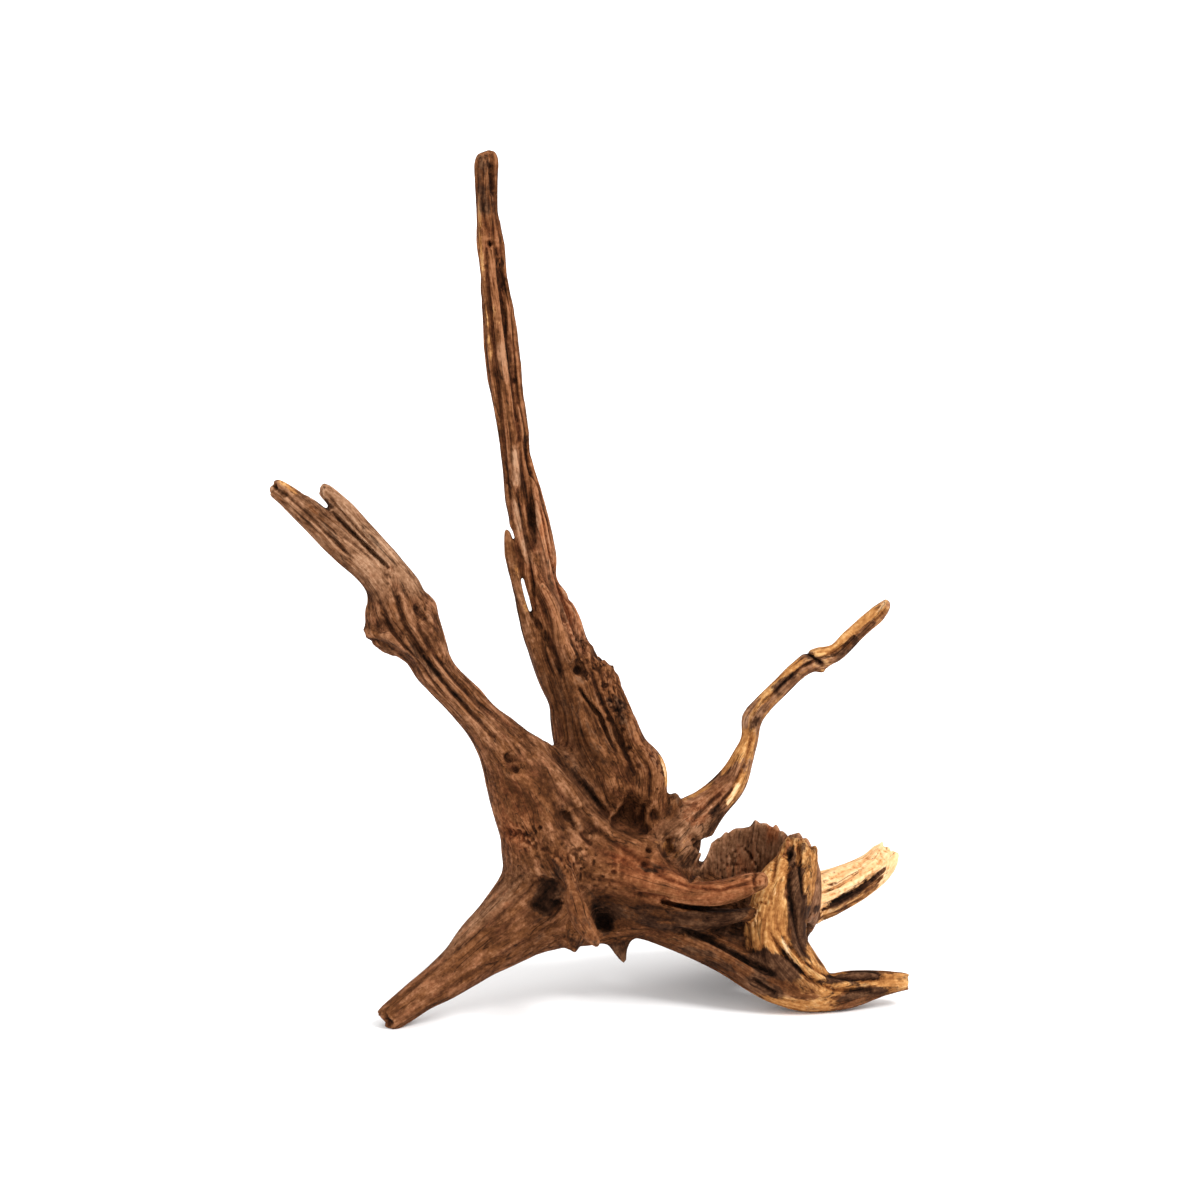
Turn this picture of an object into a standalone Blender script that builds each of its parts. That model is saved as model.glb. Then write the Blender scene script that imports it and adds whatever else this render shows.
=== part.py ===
"""A piece of driftwood: the weathered root stump of a small tree, grown as one piece.

A tall split spire, a forked left branch, a thin right branch and four roots leave one gnarled
body. It stands on three worn flat spots: the left root, the front root and the rear root.
Run with: blender --background --python part.py
"""

import math

import bmesh
import bpy
import numpy as np

# The stump was sized along the sight lines of a viewer in front of it. A place is written as
# (across, up, away) in millimetres: across and up on a picture plane through the target, and
# away from the viewer. Widths are given at the picture plane, and grow with the distance.
SIGHT_ELEVATION = math.radians(12.0)
SIGHT_DISTANCE = 2200.0
TARGET_HEIGHT = 209.0
TARGET_UP = 215.0
MM = 0.001

# Stations of each limb, from tip to body: across, up, away, half width, half thickness.
LIMBS = {
    "spire": (
        (-56.9, 437.6, 22, 5.0, 4.0),
        (-57.3, 426.0, 22, 6.3, 5.0),
        (-57.0, 412.5, 22, 5.9, 5.5),
        (-55.3, 392.5, 21, 6.6, 6.0),
        (-53.8, 375.0, 20, 6.7, 6.0),
        (-51.3, 359.0, 19, 7.5, 6.5),
        (-49.6, 339.0, 18, 8.2, 7.0),
        (-46.8, 317.5, 17, 7.9, 7.5),
        (-43.9, 300.0, 16, 7.4, 8.0),
        (-41.8, 284.0, 16, 7.6, 8.5),
        (-38.4, 265.0, 15, 9.8, 9.0),
        (-34.6, 250.0, 15, 9.6, 9.0),
        (-31.1, 235.0, 14, 9.2, 9.0),
        (-28.3, 221.0, 13, 9.0, 10.0),
        (-24.0, 212.0, 12, 10.4, 10.5),
        (-21.6, 205.0, 12, 11.8, 11.0),
        (-19.6, 192.5, 12, 13.4, 12.5),
        (-13.6, 177.5, 12, 15.8, 14.0),
        (-7.8, 162.5, 12, 17.0, 15.0),
        (-3.0, 145.0, 12, 18.4, 16.0),
        (3.5, 130.0, 11, 20.5, 17.0),
        (9.0, 115.0, 10, 22.0, 18.0),
        (15.0, 100.0, 10, 20.0, 18.0),
        (18.0, 85.0, 10, 17.0, 16.0),
    ),
    "trunk_slab": (
        (0.8, 183.4, 9, 3.6, 6.0),
        (4.2, 171.0, 9, 6.6, 9.0),
        (8.6, 156.5, 9, 7.3, 11.0),
        (13.6, 142.5, 9, 8.4, 12.0),
        (20.0, 129.0, 8, 11.6, 14.0),
        (22.0, 116.0, 7, 11.4, 15.0),
        (21.0, 100.0, 6, 12.0, 16.0),
    ),
    "under_web": (
        (-24.0, 56.0, -14, 9.0, 10.0),
        (-13.5, 51.6, -12, 9.2, 11.0),
        (8.0, 53.2, -8, 8.2, 11.0),
        (24.0, 56.0, -6, 8.0, 12.0),
    ),
    "knee_knob": (
        (-118.0, 196.6, -16, 2.4, 4.0),
        (-112.5, 197.6, -16, 3.6, 7.0),
        (-104.0, 200.0, -14, 6.0, 9.0),
    ),
    "branch_spur": (
        (113.6, 178.2, 27, 1.4, 1.6),
        (109.5, 180.6, 27, 2.6, 2.6),
        (104.0, 184.4, 27, 3.6, 3.6),
    ),
    "limb_web": (
        (50.0, 50.0, -3, 7.0, 9.0),
        (60.0, 48.5, -5, 9.0, 8.0),
        (72.0, 45.0, -7, 10.0, 8.0),
        (84.0, 44.0, -9, 9.0, 9.0),
    ),
    "branch_knob": (
        (38.2, 118.4, 0, 2.2, 3.0),
        (36.5, 113.0, 3, 3.6, 6.0),
        (33.0, 104.0, 6, 6.0, 8.0),
    ),
    "splinter": (
        (-47.4, 251.0, 9, 1.8, 1.6),
        (-46.0, 240.0, 9, 2.5, 2.6),
        (-43.0, 227.5, 9, 3.0, 3.4),
        (-39.7, 216.5, 9, 3.4, 4.0),
        (-37.5, 207.5, 9, 4.0, 5.0),
        (-34.0, 196.5, 10, 4.8, 7.0),
        (-28.9, 184.0, 11, 5.6, 9.0),
        (-23.5, 170.0, 12, 5.6, 9.0),
    ),
    "left_lower_prong": (
        (-164.8, 272.6, -10, 4.6, 4.0),
        (-157.0, 267.2, -10, 5.6, 5.0),
        (-148.0, 259.5, -10, 6.4, 6.0),
        (-139.0, 251.6, -11, 7.4, 7.0),
        (-127.0, 240.5, -12, 8.4, 8.5),
        (-115.5, 230.5, -12, 8.4, 9.5),
        (-105.5, 218.0, -13, 9.5, 11.0),
    ),
    "left_upper_prong": (
        (-139.3, 272.0, -8, 3.2, 3.0),
        (-134.0, 266.0, -8, 4.5, 4.5),
        (-126.8, 259.4, -9, 4.6, 5.5),
        (-119.2, 250.4, -9, 4.8, 6.0),
        (-110.5, 240.8, -10, 5.2, 7.0),
        (-102.5, 231.0, -11, 6.0, 8.0),
        (-96.5, 220.0, -12, 8.6, 10.0),
    ),
    "left_neck": (
        (-106.0, 227.5, -12, 10.0, 9.0),
        (-101.8, 216.5, -13, 14.4, 12.0),
        (-97.2, 205.0, -14, 18.8, 14.0),
        (-89.0, 193.0, -14, 13.3, 13.0),
        (-81.6, 178.8, -15, 10.4, 11.5),
        (-68.8, 165.2, -14, 10.3, 11.5),
        (-56.3, 151.5, -13, 11.6, 13.0),
        (-46.4, 139.6, -11, 15.9, 16.0),
        (-35.4, 124.8, -8, 22.5, 20.0),
        (-26.0, 109.0, -5, 27.0, 25.0),
        (-17.5, 94.0, -2, 32.5, 30.0),
        (-10.0, 80.0, 0, 30.0, 28.0),
    ),
    "left_root": (
        (-106.8, 4.4, -47, 6.8, 7.5),
        (-97.0, 12.2, -43, 8.3, 9.0),
        (-89.0, 18.2, -40, 8.9, 10.0),
        (-79.7, 24.0, -36, 9.9, 10.5),
        (-69.7, 31.6, -31, 11.3, 12.0),
        (-59.0, 41.0, -26, 14.9, 13.5),
        (-49.6, 48.0, -21, 18.0, 15.0),
        (-39.2, 56.2, -16, 21.8, 17.0),
        (-30.5, 63.0, -12, 26.6, 19.0),
        (-20.5, 74.0, -8, 27.0, 22.0),
        (-12.0, 84.0, -4, 25.0, 24.0),
    ),
    "claw": (
        (0.0, 40.6, -51, 1.8, 2.0),
        (-5.0, 50.5, -48, 5.0, 5.0),
        (-11.0, 61.5, -44, 6.0, 6.0),
        (-15.5, 72.5, -38, 5.8, 6.5),
        (-19.0, 81.0, -32, 5.6, 8.0),
        (-22.0, 90.0, -24, 5.6, 9.0),
    ),
    "spike": (
        (12.8, 32.8, -10, 1.6, 1.5),
        (11.4, 42.0, -10, 4.4, 3.0),
        (9.5, 51.0, -10, 6.6, 5.5),
        (7.5, 62.5, -9, 7.5, 8.0),
        (6.0, 75.0, -6, 9.0, 12.0),
    ),
    "body": (
        (-20.0, 90.0, -3, 25.0, 26.0),
        (0.0, 84.0, -2, 24.0, 28.0),
        (20.0, 79.0, 0, 19.0, 26.0),
        (36.0, 73.0, 2, 12.0, 19.0),
        (50.0, 69.0, 0, 7.5, 12.0),
    ),
    "rim_limb": (
        (83.0, 76.5, -20, 3.0, 4.5),
        (72.5, 72.0, -21, 4.5, 6.5),
        (60.0, 68.5, -22, 5.0, 7.5),
        (45.0, 68.5, -22, 6.0, 9.0),
        (27.5, 73.0, -20, 9.0, 11.0),
        (7.5, 81.0, -14, 13.0, 14.0),
    ),
    "lower_limb": (
        (75.0, 58.5, -17, 3.2, 5.0),
        (65.0, 57.0, -17, 4.5, 7.0),
        (51.5, 56.0, -16, 6.0, 9.0),
        (36.0, 57.5, -14, 7.5, 11.0),
        (20.0, 62.5, -10, 10.0, 14.0),
        (2.5, 70.0, -6, 13.0, 18.0),
    ),
    "front_root": (
        (155.5, 24.0, -10, 4.4, 4.5),
        (140.5, 22.2, -13, 6.3, 7.0),
        (125.0, 19.2, -16, 8.7, 9.0),
        (110.0, 17.6, -19, 8.6, 11.0),
        (95.0, 19.9, -20, 9.4, 12.0),
        (80.0, 26.4, -18, 8.7, 12.0),
        (65.0, 35.2, -14, 8.0, 11.0),
        (50.0, 42.3, -10, 7.5, 11.0),
        (34.0, 49.2, -4, 7.6, 12.0),
        (16.0, 59.0, 0, 11.0, 16.0),
    ),
    "right_post": (
        (96.0, 92.5, 2, 6.0, 5.0),
        (96.6, 81.0, -2, 10.9, 9.0),
        (91.8, 67.5, -8, 14.6, 12.0),
        (89.4, 54.0, -12, 13.8, 13.0),
        (90.6, 41.0, -15, 13.4, 14.0),
        (98.0, 29.0, -18, 13.6, 14.0),
        (105.0, 21.5, -18, 12.5, 12.0),
    ),
    "pale_root": (
        (143.6, 88.2, 62, 7.7, 5.0),
        (138.0, 81.0, 56, 8.2, 7.5),
        (129.5, 76.0, 50, 9.1, 9.5),
        (117.5, 70.1, 41, 10.3, 11.0),
        (107.5, 66.8, 32, 11.2, 12.0),
        (97.0, 63.5, 24, 10.6, 12.0),
        (88.0, 60.0, 12, 10.0, 12.0),
    ),
    "thin_branch": (
        (145.0, 214.6, 30, 2.4, 2.5),
        (138.9, 208.4, 30, 4.1, 4.0),
        (131.5, 201.8, 30, 4.5, 4.5),
        (124.1, 194.5, 29, 5.1, 5.0),
        (117.2, 188.0, 28, 4.8, 5.0),
        (108.2, 185.0, 27, 5.0, 5.0),
        (99.4, 180.4, 26, 5.2, 5.5),
        (90.2, 171.4, 24, 5.0, 5.5),
        (80.9, 162.2, 23, 5.1, 5.5),
        (76.4, 155.2, 22, 5.1, 5.0),
        (75.2, 147.0, 21, 4.7, 5.0),
        (71.4, 136.6, 20, 5.9, 6.5),
        (65.4, 124.6, 18, 7.5, 8.5),
        (54.6, 112.4, 14, 9.6, 11.0),
        (43.4, 102.0, 10, 14.4, 15.0),
        (32.0, 91.5, 6, 17.0, 20.0),
    ),
    "rear_root": (
        (96.0, 44.0, 96, 5.0, 7.0),
        (91.0, 47.5, 93, 6.0, 8.0),
        (84.0, 54.0, 84, 7.0, 9.5),
        (70.0, 61.0, 70, 8.5, 11.5),
        (53.0, 69.0, 52, 11.0, 14.0),
        (36.0, 75.0, 34, 14.0, 18.0),
        (20.0, 80.0, 18, 17.0, 20.0),
    ),
    "cup_floor": (
        (40.0, 56.0, 18, 10.0, 16.0),
        (60.0, 47.0, 24, 8.0, 25.0),
        (85.0, 42.0, 22, 8.0, 27.0),
        (98.0, 44.0, 12, 8.0, 18.0),
    ),
}
# The broken wall round the hollow at the right: its path seen from above runs from the far left
# round the back to the right post. Across, up, away, half height, half thickness.
CUP_WALL = (
    (47.0, 75.0, 26, 11.0, 4.0),
    (53.0, 75.5, 38, 15.5, 3.6),
    (59.0, 76.0, 45, 18.5, 3.4),
    (67.0, 77.0, 51, 24.5, 3.4),
    (75.0, 76.0, 52, 27.0, 3.4),
    (83.0, 75.5, 48, 27.5, 3.4),
    (91.0, 73.0, 41, 26.0, 3.6),
    (98.0, 71.5, 33, 26.0, 4.0),
    (104.0, 70.5, 22, 22.5, 4.5),
    (106.0, 70.0, 10, 18.5, 5.0),
    (103.0, 68.0, -2, 16.0, 5.0),
)
# Ridges (positive) and hollows (negative) that the viewer sees: height, half width, away, and
# the line that each follows, as across and up.
RELIEF = {
    "knee_lip": (3.0, 4.5, -18, ((-116, 198), (-110, 197), (-105, 192), (-100, 187), (-94, 181))),
    "knee_fold": (-3.0, 3.5, -20, ((-114, 190), (-108, 189), (-104, 185))),
    "fork_slit": (-6.0, 2.2, -12, ((-133, 259), (-125, 250), (-115, 240), (-105, 231))),
    "body_ridge": (4.0, 5.0, -20, ((-45, 135), (-35, 125), (-27, 117), (-23, 107), (-20, 90))),
    "eye_hollow": (-7.0, 5.5, 0, ((3, 114), (12, 107), (21, 102), (27, 107))),
    "oval_hollow": (-7.0, 4.0, 0, ((34, 95), (36, 88))),
    "claw_hollow": (-13.0, 7.5, -20, ((-22, 76), (-20, 70), (-25, 62))),
    "under_hollow": (-8.0, 6.0, -15, ((1, 62), (4, 50))),
    "spire_groove": (-4.5, 3.0, 8, ((-40, 295), (-37, 265), (-34, 250), (-33, 238))),
    "spire_seam": (-2.5, 2.2, 12, ((-51, 390), (-46, 350), (-41, 315), (-40, 295))),
    "splinter_crack": (-3.5, 2.5, 6, ((-33, 206), (-27, 197), (-22, 187), (-20, 177))),
    "spire_ridge": (3.5, 4.0, 4, ((-32, 227), (-25, 215), (-19, 197), (-14, 185), (-5, 170))),
    "spire_notch": (-8.0, 3.5, 2, ((-11, 181), (-10, 179))),
    "trunk_crack": (-3.0, 2.5, 0, ((-10, 170), (0, 157), (7, 142))),
    "trunk_edge": (3.0, 4.5, 0, ((12, 160), (20, 143), (28, 128), (30, 116))),
    "scar": (-3.0, 4.0, -20, ((-46, 133), (-43, 135))),
    "broad_hollow": (-3.5, 7.0, -25, ((-11, 108), (-6, 95))),
    "side_crevice": (-3.0, 2.5, -25, ((-48, 99), (-36, 97))),
}
RELIEF_REACH = 28.0  # how far in front of or behind its own place a ridge or hollow still acts
TURNED_AWAY = 0.33  # a ridge or hollow fades out where the skin turns this far from the viewer

PATH_STEP = 3.0  # spacing of the rings along a limb
RING_SIDES = 20
THINNEST = 0.8  # least half size of a limb
GRID = 1.9  # spacing of the skin that joins the limbs
SOFTEN_STEPS = 3  # rounds that take the grid's steps out of the skin
FILLET_STEPS = 22  # rounds that fill the crotches between limbs
FIBRE_HEIGHT = 1.5  # height, width and length of a bundle of fibres on a thick limb
FIBRE_WIDTH = 7.0
FIBRE_LENGTH = 90.0
FULL_RADIUS = 12.0  # limbs slimmer than this carry lower bundles
LIMB_REACH = 0.45  # how fast a limb's say fades beside it, in half sizes
RAGGED_EDGE = 2.5  # how ragged the wall's broken edge is
FLOOR_CUT = 0.9  # how much of each root the floor has worn flat
TRIANGLES = 9600
NOISE_VALUES = 4096


def sight_axes():
    """The viewer's place, and the forward and upward directions of the view."""
    forward = np.array([0.0, math.cos(SIGHT_ELEVATION), -math.sin(SIGHT_ELEVATION)])
    upward = np.array([0.0, math.sin(SIGHT_ELEVATION), math.cos(SIGHT_ELEVATION)])
    eye = np.array([0.0, 0.0, TARGET_HEIGHT]) - SIGHT_DISTANCE * forward
    return eye, forward, upward


def placed(across, up, away):
    """Points in space, where the sight lines meet the planes y = away, and their scale."""
    eye, _, upward = sight_axes()
    ray = (np.asarray(up) - TARGET_UP)[:, None] * upward + [0.0, 0.0, TARGET_HEIGHT] - eye
    ray[:, 0] += across
    scale = (np.asarray(away) - eye[1]) / ray[:, 1]
    return eye + ray * scale[:, None], scale


def seen(points):
    """Where points in space show on the picture plane, as rows of across and up."""
    eye, forward, upward = sight_axes()
    ray = points - eye
    scale = SIGHT_DISTANCE / (ray @ forward)
    return np.stack([ray[:, 0] * scale, (ray @ upward) * scale + TARGET_UP], axis=1)


def smooth_stations(stations):
    """Stations every PATH_STEP along a smooth curve through the given ones."""
    knots = np.array(stations, float)
    at = np.concatenate([[0.0], np.cumsum(np.linalg.norm(np.diff(knots[:, :3], axis=0), axis=1))])
    slope = np.gradient(knots, at, axis=0)
    along = np.linspace(0.0, at[-1], max(4, round(at[-1] / PATH_STEP) + 1))
    first = np.clip(np.searchsorted(at, along, side="right") - 1, 0, len(at) - 2)
    gap = (at[first + 1] - at[first])[:, None]
    t = (along - at[first])[:, None] / gap
    return (
        (2 * t**3 - 3 * t**2 + 1) * knots[first]
        + (t**3 - 2 * t**2 + t) * gap * slope[first]
        + (3 * t**2 - 2 * t**3) * knots[first + 1]
        + (t**3 - t**2) * gap * slope[first + 1]
    )


def limb_frame(stations, upright=False):
    """A limb's centre line, its side and front directions, and its half sizes.

    The side direction lies across the view, so that the half width is what the viewer sees.
    An upright wall takes the vertical as its side direction instead.
    """
    rows = smooth_stations(stations)
    centre, scale = placed(rows[:, 0], rows[:, 1], rows[:, 2])
    tangent = np.gradient(centre, axis=0)
    tangent /= np.linalg.norm(tangent, axis=1)[:, None]
    view = centre - sight_axes()[0]
    side = np.cross(np.array([0.0, 0.0, 1.0]), tangent) if upright else np.cross(view, tangent)
    side /= np.linalg.norm(side, axis=1)[:, None]
    front = np.cross(tangent, side)
    half = np.maximum(rows[:, 3:5] * scale[:, None], THINNEST)
    if upright:
        side, front = front, -side
    return centre, side, front, half


def ring_loft(frame, ragged=0.0, seed=0):
    """A tube of oval rings carried along a limb: its points, its quads and its two end faces.

    The upper edge of a ragged tube goes up and down from ring to ring by random steps.
    """
    centre, side, front, half = frame
    turn = np.linspace(0.0, 2.0 * math.pi, RING_SIDES, endpoint=False)
    wide, deep = np.cos(turn), np.sin(turn)
    tall = np.ones((len(centre), RING_SIDES))
    if ragged:
        wave = np.random.default_rng(seed).normal(0.0, ragged, len(centre))
        tall += (wave / half[:, 0])[:, None] * np.maximum(wide, 0.0) ** 2
    points = (
        centre[:, None]
        + (half[:, 0, None] * wide * tall)[..., None] * side[:, None]
        + (half[:, 1, None] * deep)[..., None] * front[:, None]
    ).reshape(-1, 3)
    rings = np.arange(len(centre) * RING_SIDES).reshape(len(centre), RING_SIDES)
    ahead = np.roll(rings, -1, axis=1)
    quads = np.stack([rings[:-1], ahead[:-1], ahead[1:], rings[1:]], axis=-1).reshape(-1, 4)
    return points, quads, (rings[0][::-1], rings[-1])


def rough_stump(collection):
    """All limbs as overlapping closed lofts in one mesh, and their frames by name."""
    frames = {name: limb_frame(stations) for name, stations in LIMBS.items()}
    frames["cup_wall"] = limb_frame(CUP_WALL, upright=True)
    points, faces, used = [], [], 0
    for number, (name, frame) in enumerate(frames.items()):
        ragged = RAGGED_EDGE if name == "cup_wall" else 0.0
        loft, quads, caps = ring_loft(frame, ragged, seed=number)
        points.append(loft * MM)
        faces += [(face + used).tolist() for face in (*quads, *caps)]
        used += len(loft)
    mesh = bpy.data.meshes.new("driftwood")
    mesh.from_pydata(np.concatenate(points).tolist(), [], faces)
    stump = bpy.data.objects.new("driftwood", mesh)
    collection.objects.link(stump)
    return stump, frames


def apply_modifier(obj, kind, **settings):
    """Gives the object one modifier and keeps its result as the object's own mesh."""
    modifier = obj.modifiers.new(kind.title(), kind)
    for key, value in settings.items():
        setattr(modifier, key, value)
    bpy.context.view_layer.update()
    graph = bpy.context.evaluated_depsgraph_get()
    made = bpy.data.meshes.new_from_object(obj.evaluated_get(graph))
    obj.modifiers.clear()
    old, obj.data = obj.data, made
    bpy.data.meshes.remove(old)


def mesh_arrays(mesh):
    """The mesh's points in millimetres, and its edges as pairs of points."""
    points = np.empty(len(mesh.vertices) * 3, np.float32)
    mesh.vertices.foreach_get("co", points)
    edges = np.empty(len(mesh.edges) * 2, np.int32)
    mesh.edges.foreach_get("vertices", edges)
    return points.reshape(-1, 3).astype(float) / MM, edges.reshape(-1, 2)


def store_points(mesh, points):
    mesh.vertices.foreach_set("co", (points * MM).astype(np.float32).ravel())
    mesh.update()


def normals_of(mesh):
    normals = np.empty(len(mesh.vertices) * 3, np.float32)
    mesh.vertex_normals.foreach_get("vector", normals)
    return normals.reshape(-1, 3).astype(float)


def neighbour_mean(points, edges):
    """The mean of each point's neighbours along the edges."""
    a, b = edges.T
    size = len(points)
    count = np.bincount(a, minlength=size) + np.bincount(b, minlength=size)
    columns = [np.bincount(a, c[b], size) + np.bincount(b, c[a], size) for c in points.T]
    return np.stack(columns, axis=1) / np.maximum(count, 1)[:, None]


def fill_crotches(mesh):
    """Softens the skin's steps, then moves only hollow places outwards, as healing wood does."""
    points, edges = mesh_arrays(mesh)
    for _ in range(SOFTEN_STEPS):
        points += 0.5 * (neighbour_mean(points, edges) - points)
    store_points(mesh, points)
    for _ in range(FILLET_STEPS):
        pull = neighbour_mean(points, edges) - points
        outward = (pull * normals_of(mesh)).sum(axis=1) > 0.0
        points += 0.6 * pull * outward[:, None]
        store_points(mesh, points)


def lattice_noise(places, seed):
    """Smooth noise between -1 and 1: a random value at each whole place, blended between them."""
    table = np.random.default_rng(seed).uniform(-1.0, 1.0, NOISE_VALUES)
    base = np.floor(places).astype(np.int64)
    t = places - base
    t = t * t * (3.0 - 2.0 * t)
    total = np.zeros(len(places))
    for corner in np.ndindex(2, 2, 2):
        column = (base + corner) @ np.array([7919, 104729, 1299709])
        weight = np.prod(np.where(corner, t, 1.0 - t), axis=1)
        total += weight * table[column % NOISE_VALUES]
    return total


def limb_places(points, frame):
    """Each point's offsets to a limb's side and front, its place along the limb, and how many
    half sizes of the limb it lies from the centre line."""
    centre, side, front, half = frame
    along = np.linalg.norm(np.diff(centre, axis=0, prepend=centre[:1]), axis=1).cumsum()
    nearest = ((points[:, None] - centre) ** 2).sum(axis=2).argmin(axis=1)
    offset = points - centre[nearest]
    x = (offset * side[nearest]).sum(axis=1)
    y = (offset * front[nearest]).sum(axis=1)
    share = np.linalg.norm(offset, axis=1) / half[nearest].mean(axis=1)
    return x, y, along[nearest], share


def fibre_relief(points, frames):
    """Lengthwise fibre bundles: noise drawn out along each limb, blended between limbs."""
    total = np.zeros(len(points))
    weights = np.full(len(points), 1e-9)
    for number, frame in enumerate(frames.values()):
        x, y, along, share = limb_places(points, frame)
        grain = np.stack([x / FIBRE_WIDTH, y / FIBRE_WIDTH, along / FIBRE_LENGTH], axis=1)
        sharp = 1.0 - 2.0 * np.abs(lattice_noise(grain, seed=2 * number))
        broad = lattice_noise(0.45 * grain, seed=2 * number + 1)
        weight = np.exp(-((share / LIMB_REACH) ** 2))
        total += weight * np.clip(frame[3].mean() / FULL_RADIUS, 0.35, 1.0) * (0.6 * sharp + 0.8 * broad)
        weights += weight
    return total / weights


def line_relief(points, normals):
    """The named ridges and hollows, on the side that the viewer sees."""
    place = seen(points)
    towards = (normals * (sight_axes()[0] - points)).sum(axis=1) / SIGHT_DISTANCE
    facing = np.clip(towards / TURNED_AWAY, 0.0, 1.0)
    total = np.zeros(len(points))
    for height, half_width, away, line in RELIEF.values():
        knots = np.array(line, float)
        gap = np.full(len(points), np.inf)
        for start, end in zip(knots[:-1], knots[1:]):
            step = end - start
            t = np.clip(((place - start) @ step) / (step @ step), 0.0, 1.0)
            gap = np.minimum(gap, np.linalg.norm(place - start - t[:, None] * step, axis=1))
        near = np.abs(points[:, 1] - away) < RELIEF_REACH
        total += height * np.exp(-((gap / half_width) ** 2)) * facing * near
    return total


def weather(mesh, frames):
    """Raises the fibre bundles and carves the named ridges and hollows along the normals."""
    points, edges = mesh_arrays(mesh)
    points += normals_of(mesh) * (FIBRE_HEIGHT * fibre_relief(points, frames))[:, None]
    store_points(mesh, points)
    normals = normals_of(mesh)
    for _ in range(4):
        normals = neighbour_mean(normals, edges)
    points += normals * line_relief(points, normals)[:, None]
    store_points(mesh, points)


def wear_feet(mesh):
    """Cuts the three roots flat on the floor plane and closes the cuts."""
    cleaner = bmesh.new()
    cleaner.from_mesh(mesh)
    everything = cleaner.verts[:] + cleaner.edges[:] + cleaner.faces[:]
    floor = {"plane_co": (0.0, 0.0, FLOOR_CUT * MM), "plane_no": (0.0, 0.0, -1.0)}
    bmesh.ops.bisect_plane(cleaner, geom=everything, dist=1e-6, clear_outer=True, **floor)
    rims = [edge for edge in cleaner.edges if edge.is_boundary]
    bmesh.ops.holes_fill(cleaner, edges=rims, sides=0)
    bmesh.ops.triangulate(cleaner, faces=cleaner.faces[:])
    bmesh.ops.recalc_face_normals(cleaner, faces=cleaner.faces[:])
    cleaner.to_mesh(mesh)
    cleaner.free()


def centre_on_floor(mesh):
    """Puts the middle of the box on the origin and the worn spots on the floor."""
    points, _ = mesh_arrays(mesh)
    low, high = points.min(axis=0), points.max(axis=0)
    middle = (low + high) / 2
    middle[2] = low[2]
    store_points(mesh, points - middle)
    print("origin moved to", [round(float(value), 2) for value in middle], "mm")


def wood_material():
    """Bare, sun-dried wood: warm brown, dull, with no metal or coat."""
    material = bpy.data.materials.new("weathered_wood")
    material.use_nodes = True
    surface = material.node_tree.nodes["Principled BSDF"]
    surface.inputs["Base Color"].default_value = (0.235, 0.105, 0.05, 1.0)
    surface.inputs["Roughness"].default_value = 0.78
    surface.inputs["Metallic"].default_value = 0.0
    return material


def build():
    for obj in list(bpy.data.objects):
        bpy.data.objects.remove(obj, do_unlink=True)
    collection = bpy.data.collections.new("piece of driftwood")
    bpy.context.scene.collection.children.link(collection)
    stump, frames = rough_stump(collection)
    apply_modifier(stump, "REMESH", mode="VOXEL", voxel_size=GRID * MM, adaptivity=0.0)
    fill_crotches(stump.data)
    weather(stump.data, frames)
    apply_modifier(stump, "TRIANGULATE")
    apply_modifier(stump, "DECIMATE", ratio=TRIANGLES / len(stump.data.polygons))
    wear_feet(stump.data)
    centre_on_floor(stump.data)
    stump.data.materials.append(wood_material())
    stump.data.shade_smooth()
    print(f"driftwood: {len(stump.data.polygons)} faces")


build()
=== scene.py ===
# %% [markdown]
# # A piece of driftwood
#
# The object is the weathered root stump of a small tree: a split spire, a forked left branch, a
# thin right branch, a broken hollow and four roots. Water and sand took the bark away, so the
# fibres of the wood itself show. This lesson builds the whole stump as one closed skin and then
# gives it one wood material that changes from place to place.
#
# The imported model comes first. It fixes the size and the place of everything that follows, so
# its box is kept to place the finished skin by.

import math

import bmesh
import bpy
import numpy as np
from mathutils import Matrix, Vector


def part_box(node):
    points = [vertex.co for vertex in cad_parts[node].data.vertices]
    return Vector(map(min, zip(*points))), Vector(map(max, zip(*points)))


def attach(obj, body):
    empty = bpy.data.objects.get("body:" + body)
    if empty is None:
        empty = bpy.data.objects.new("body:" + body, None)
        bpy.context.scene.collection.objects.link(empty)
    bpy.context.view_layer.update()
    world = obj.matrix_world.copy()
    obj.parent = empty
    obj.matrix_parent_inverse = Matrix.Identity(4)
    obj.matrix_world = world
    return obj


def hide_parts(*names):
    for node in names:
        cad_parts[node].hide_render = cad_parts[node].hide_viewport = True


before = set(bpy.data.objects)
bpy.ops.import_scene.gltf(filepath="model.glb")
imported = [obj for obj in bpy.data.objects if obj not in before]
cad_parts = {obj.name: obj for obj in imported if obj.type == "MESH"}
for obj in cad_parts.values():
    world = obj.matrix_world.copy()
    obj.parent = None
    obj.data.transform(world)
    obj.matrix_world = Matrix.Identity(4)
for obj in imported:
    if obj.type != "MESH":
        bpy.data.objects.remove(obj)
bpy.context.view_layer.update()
node_low, node_high = (np.array(corner) * 1000.0 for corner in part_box("driftwood"))
print("packed stump, mm:", np.round(node_high - node_low, 1))

# %% [markdown]
# ## Where things are
#
# A grown thing has no plan or side view to measure. Its places are easiest to give as someone
# in front of it sees them: across, up, and away from the viewer. They could be given as plain
# x, y and z, but then a limb that leans back would have to be worked out by hand. Here two
# formulas turn a seen place into a point in space and back.

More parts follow.
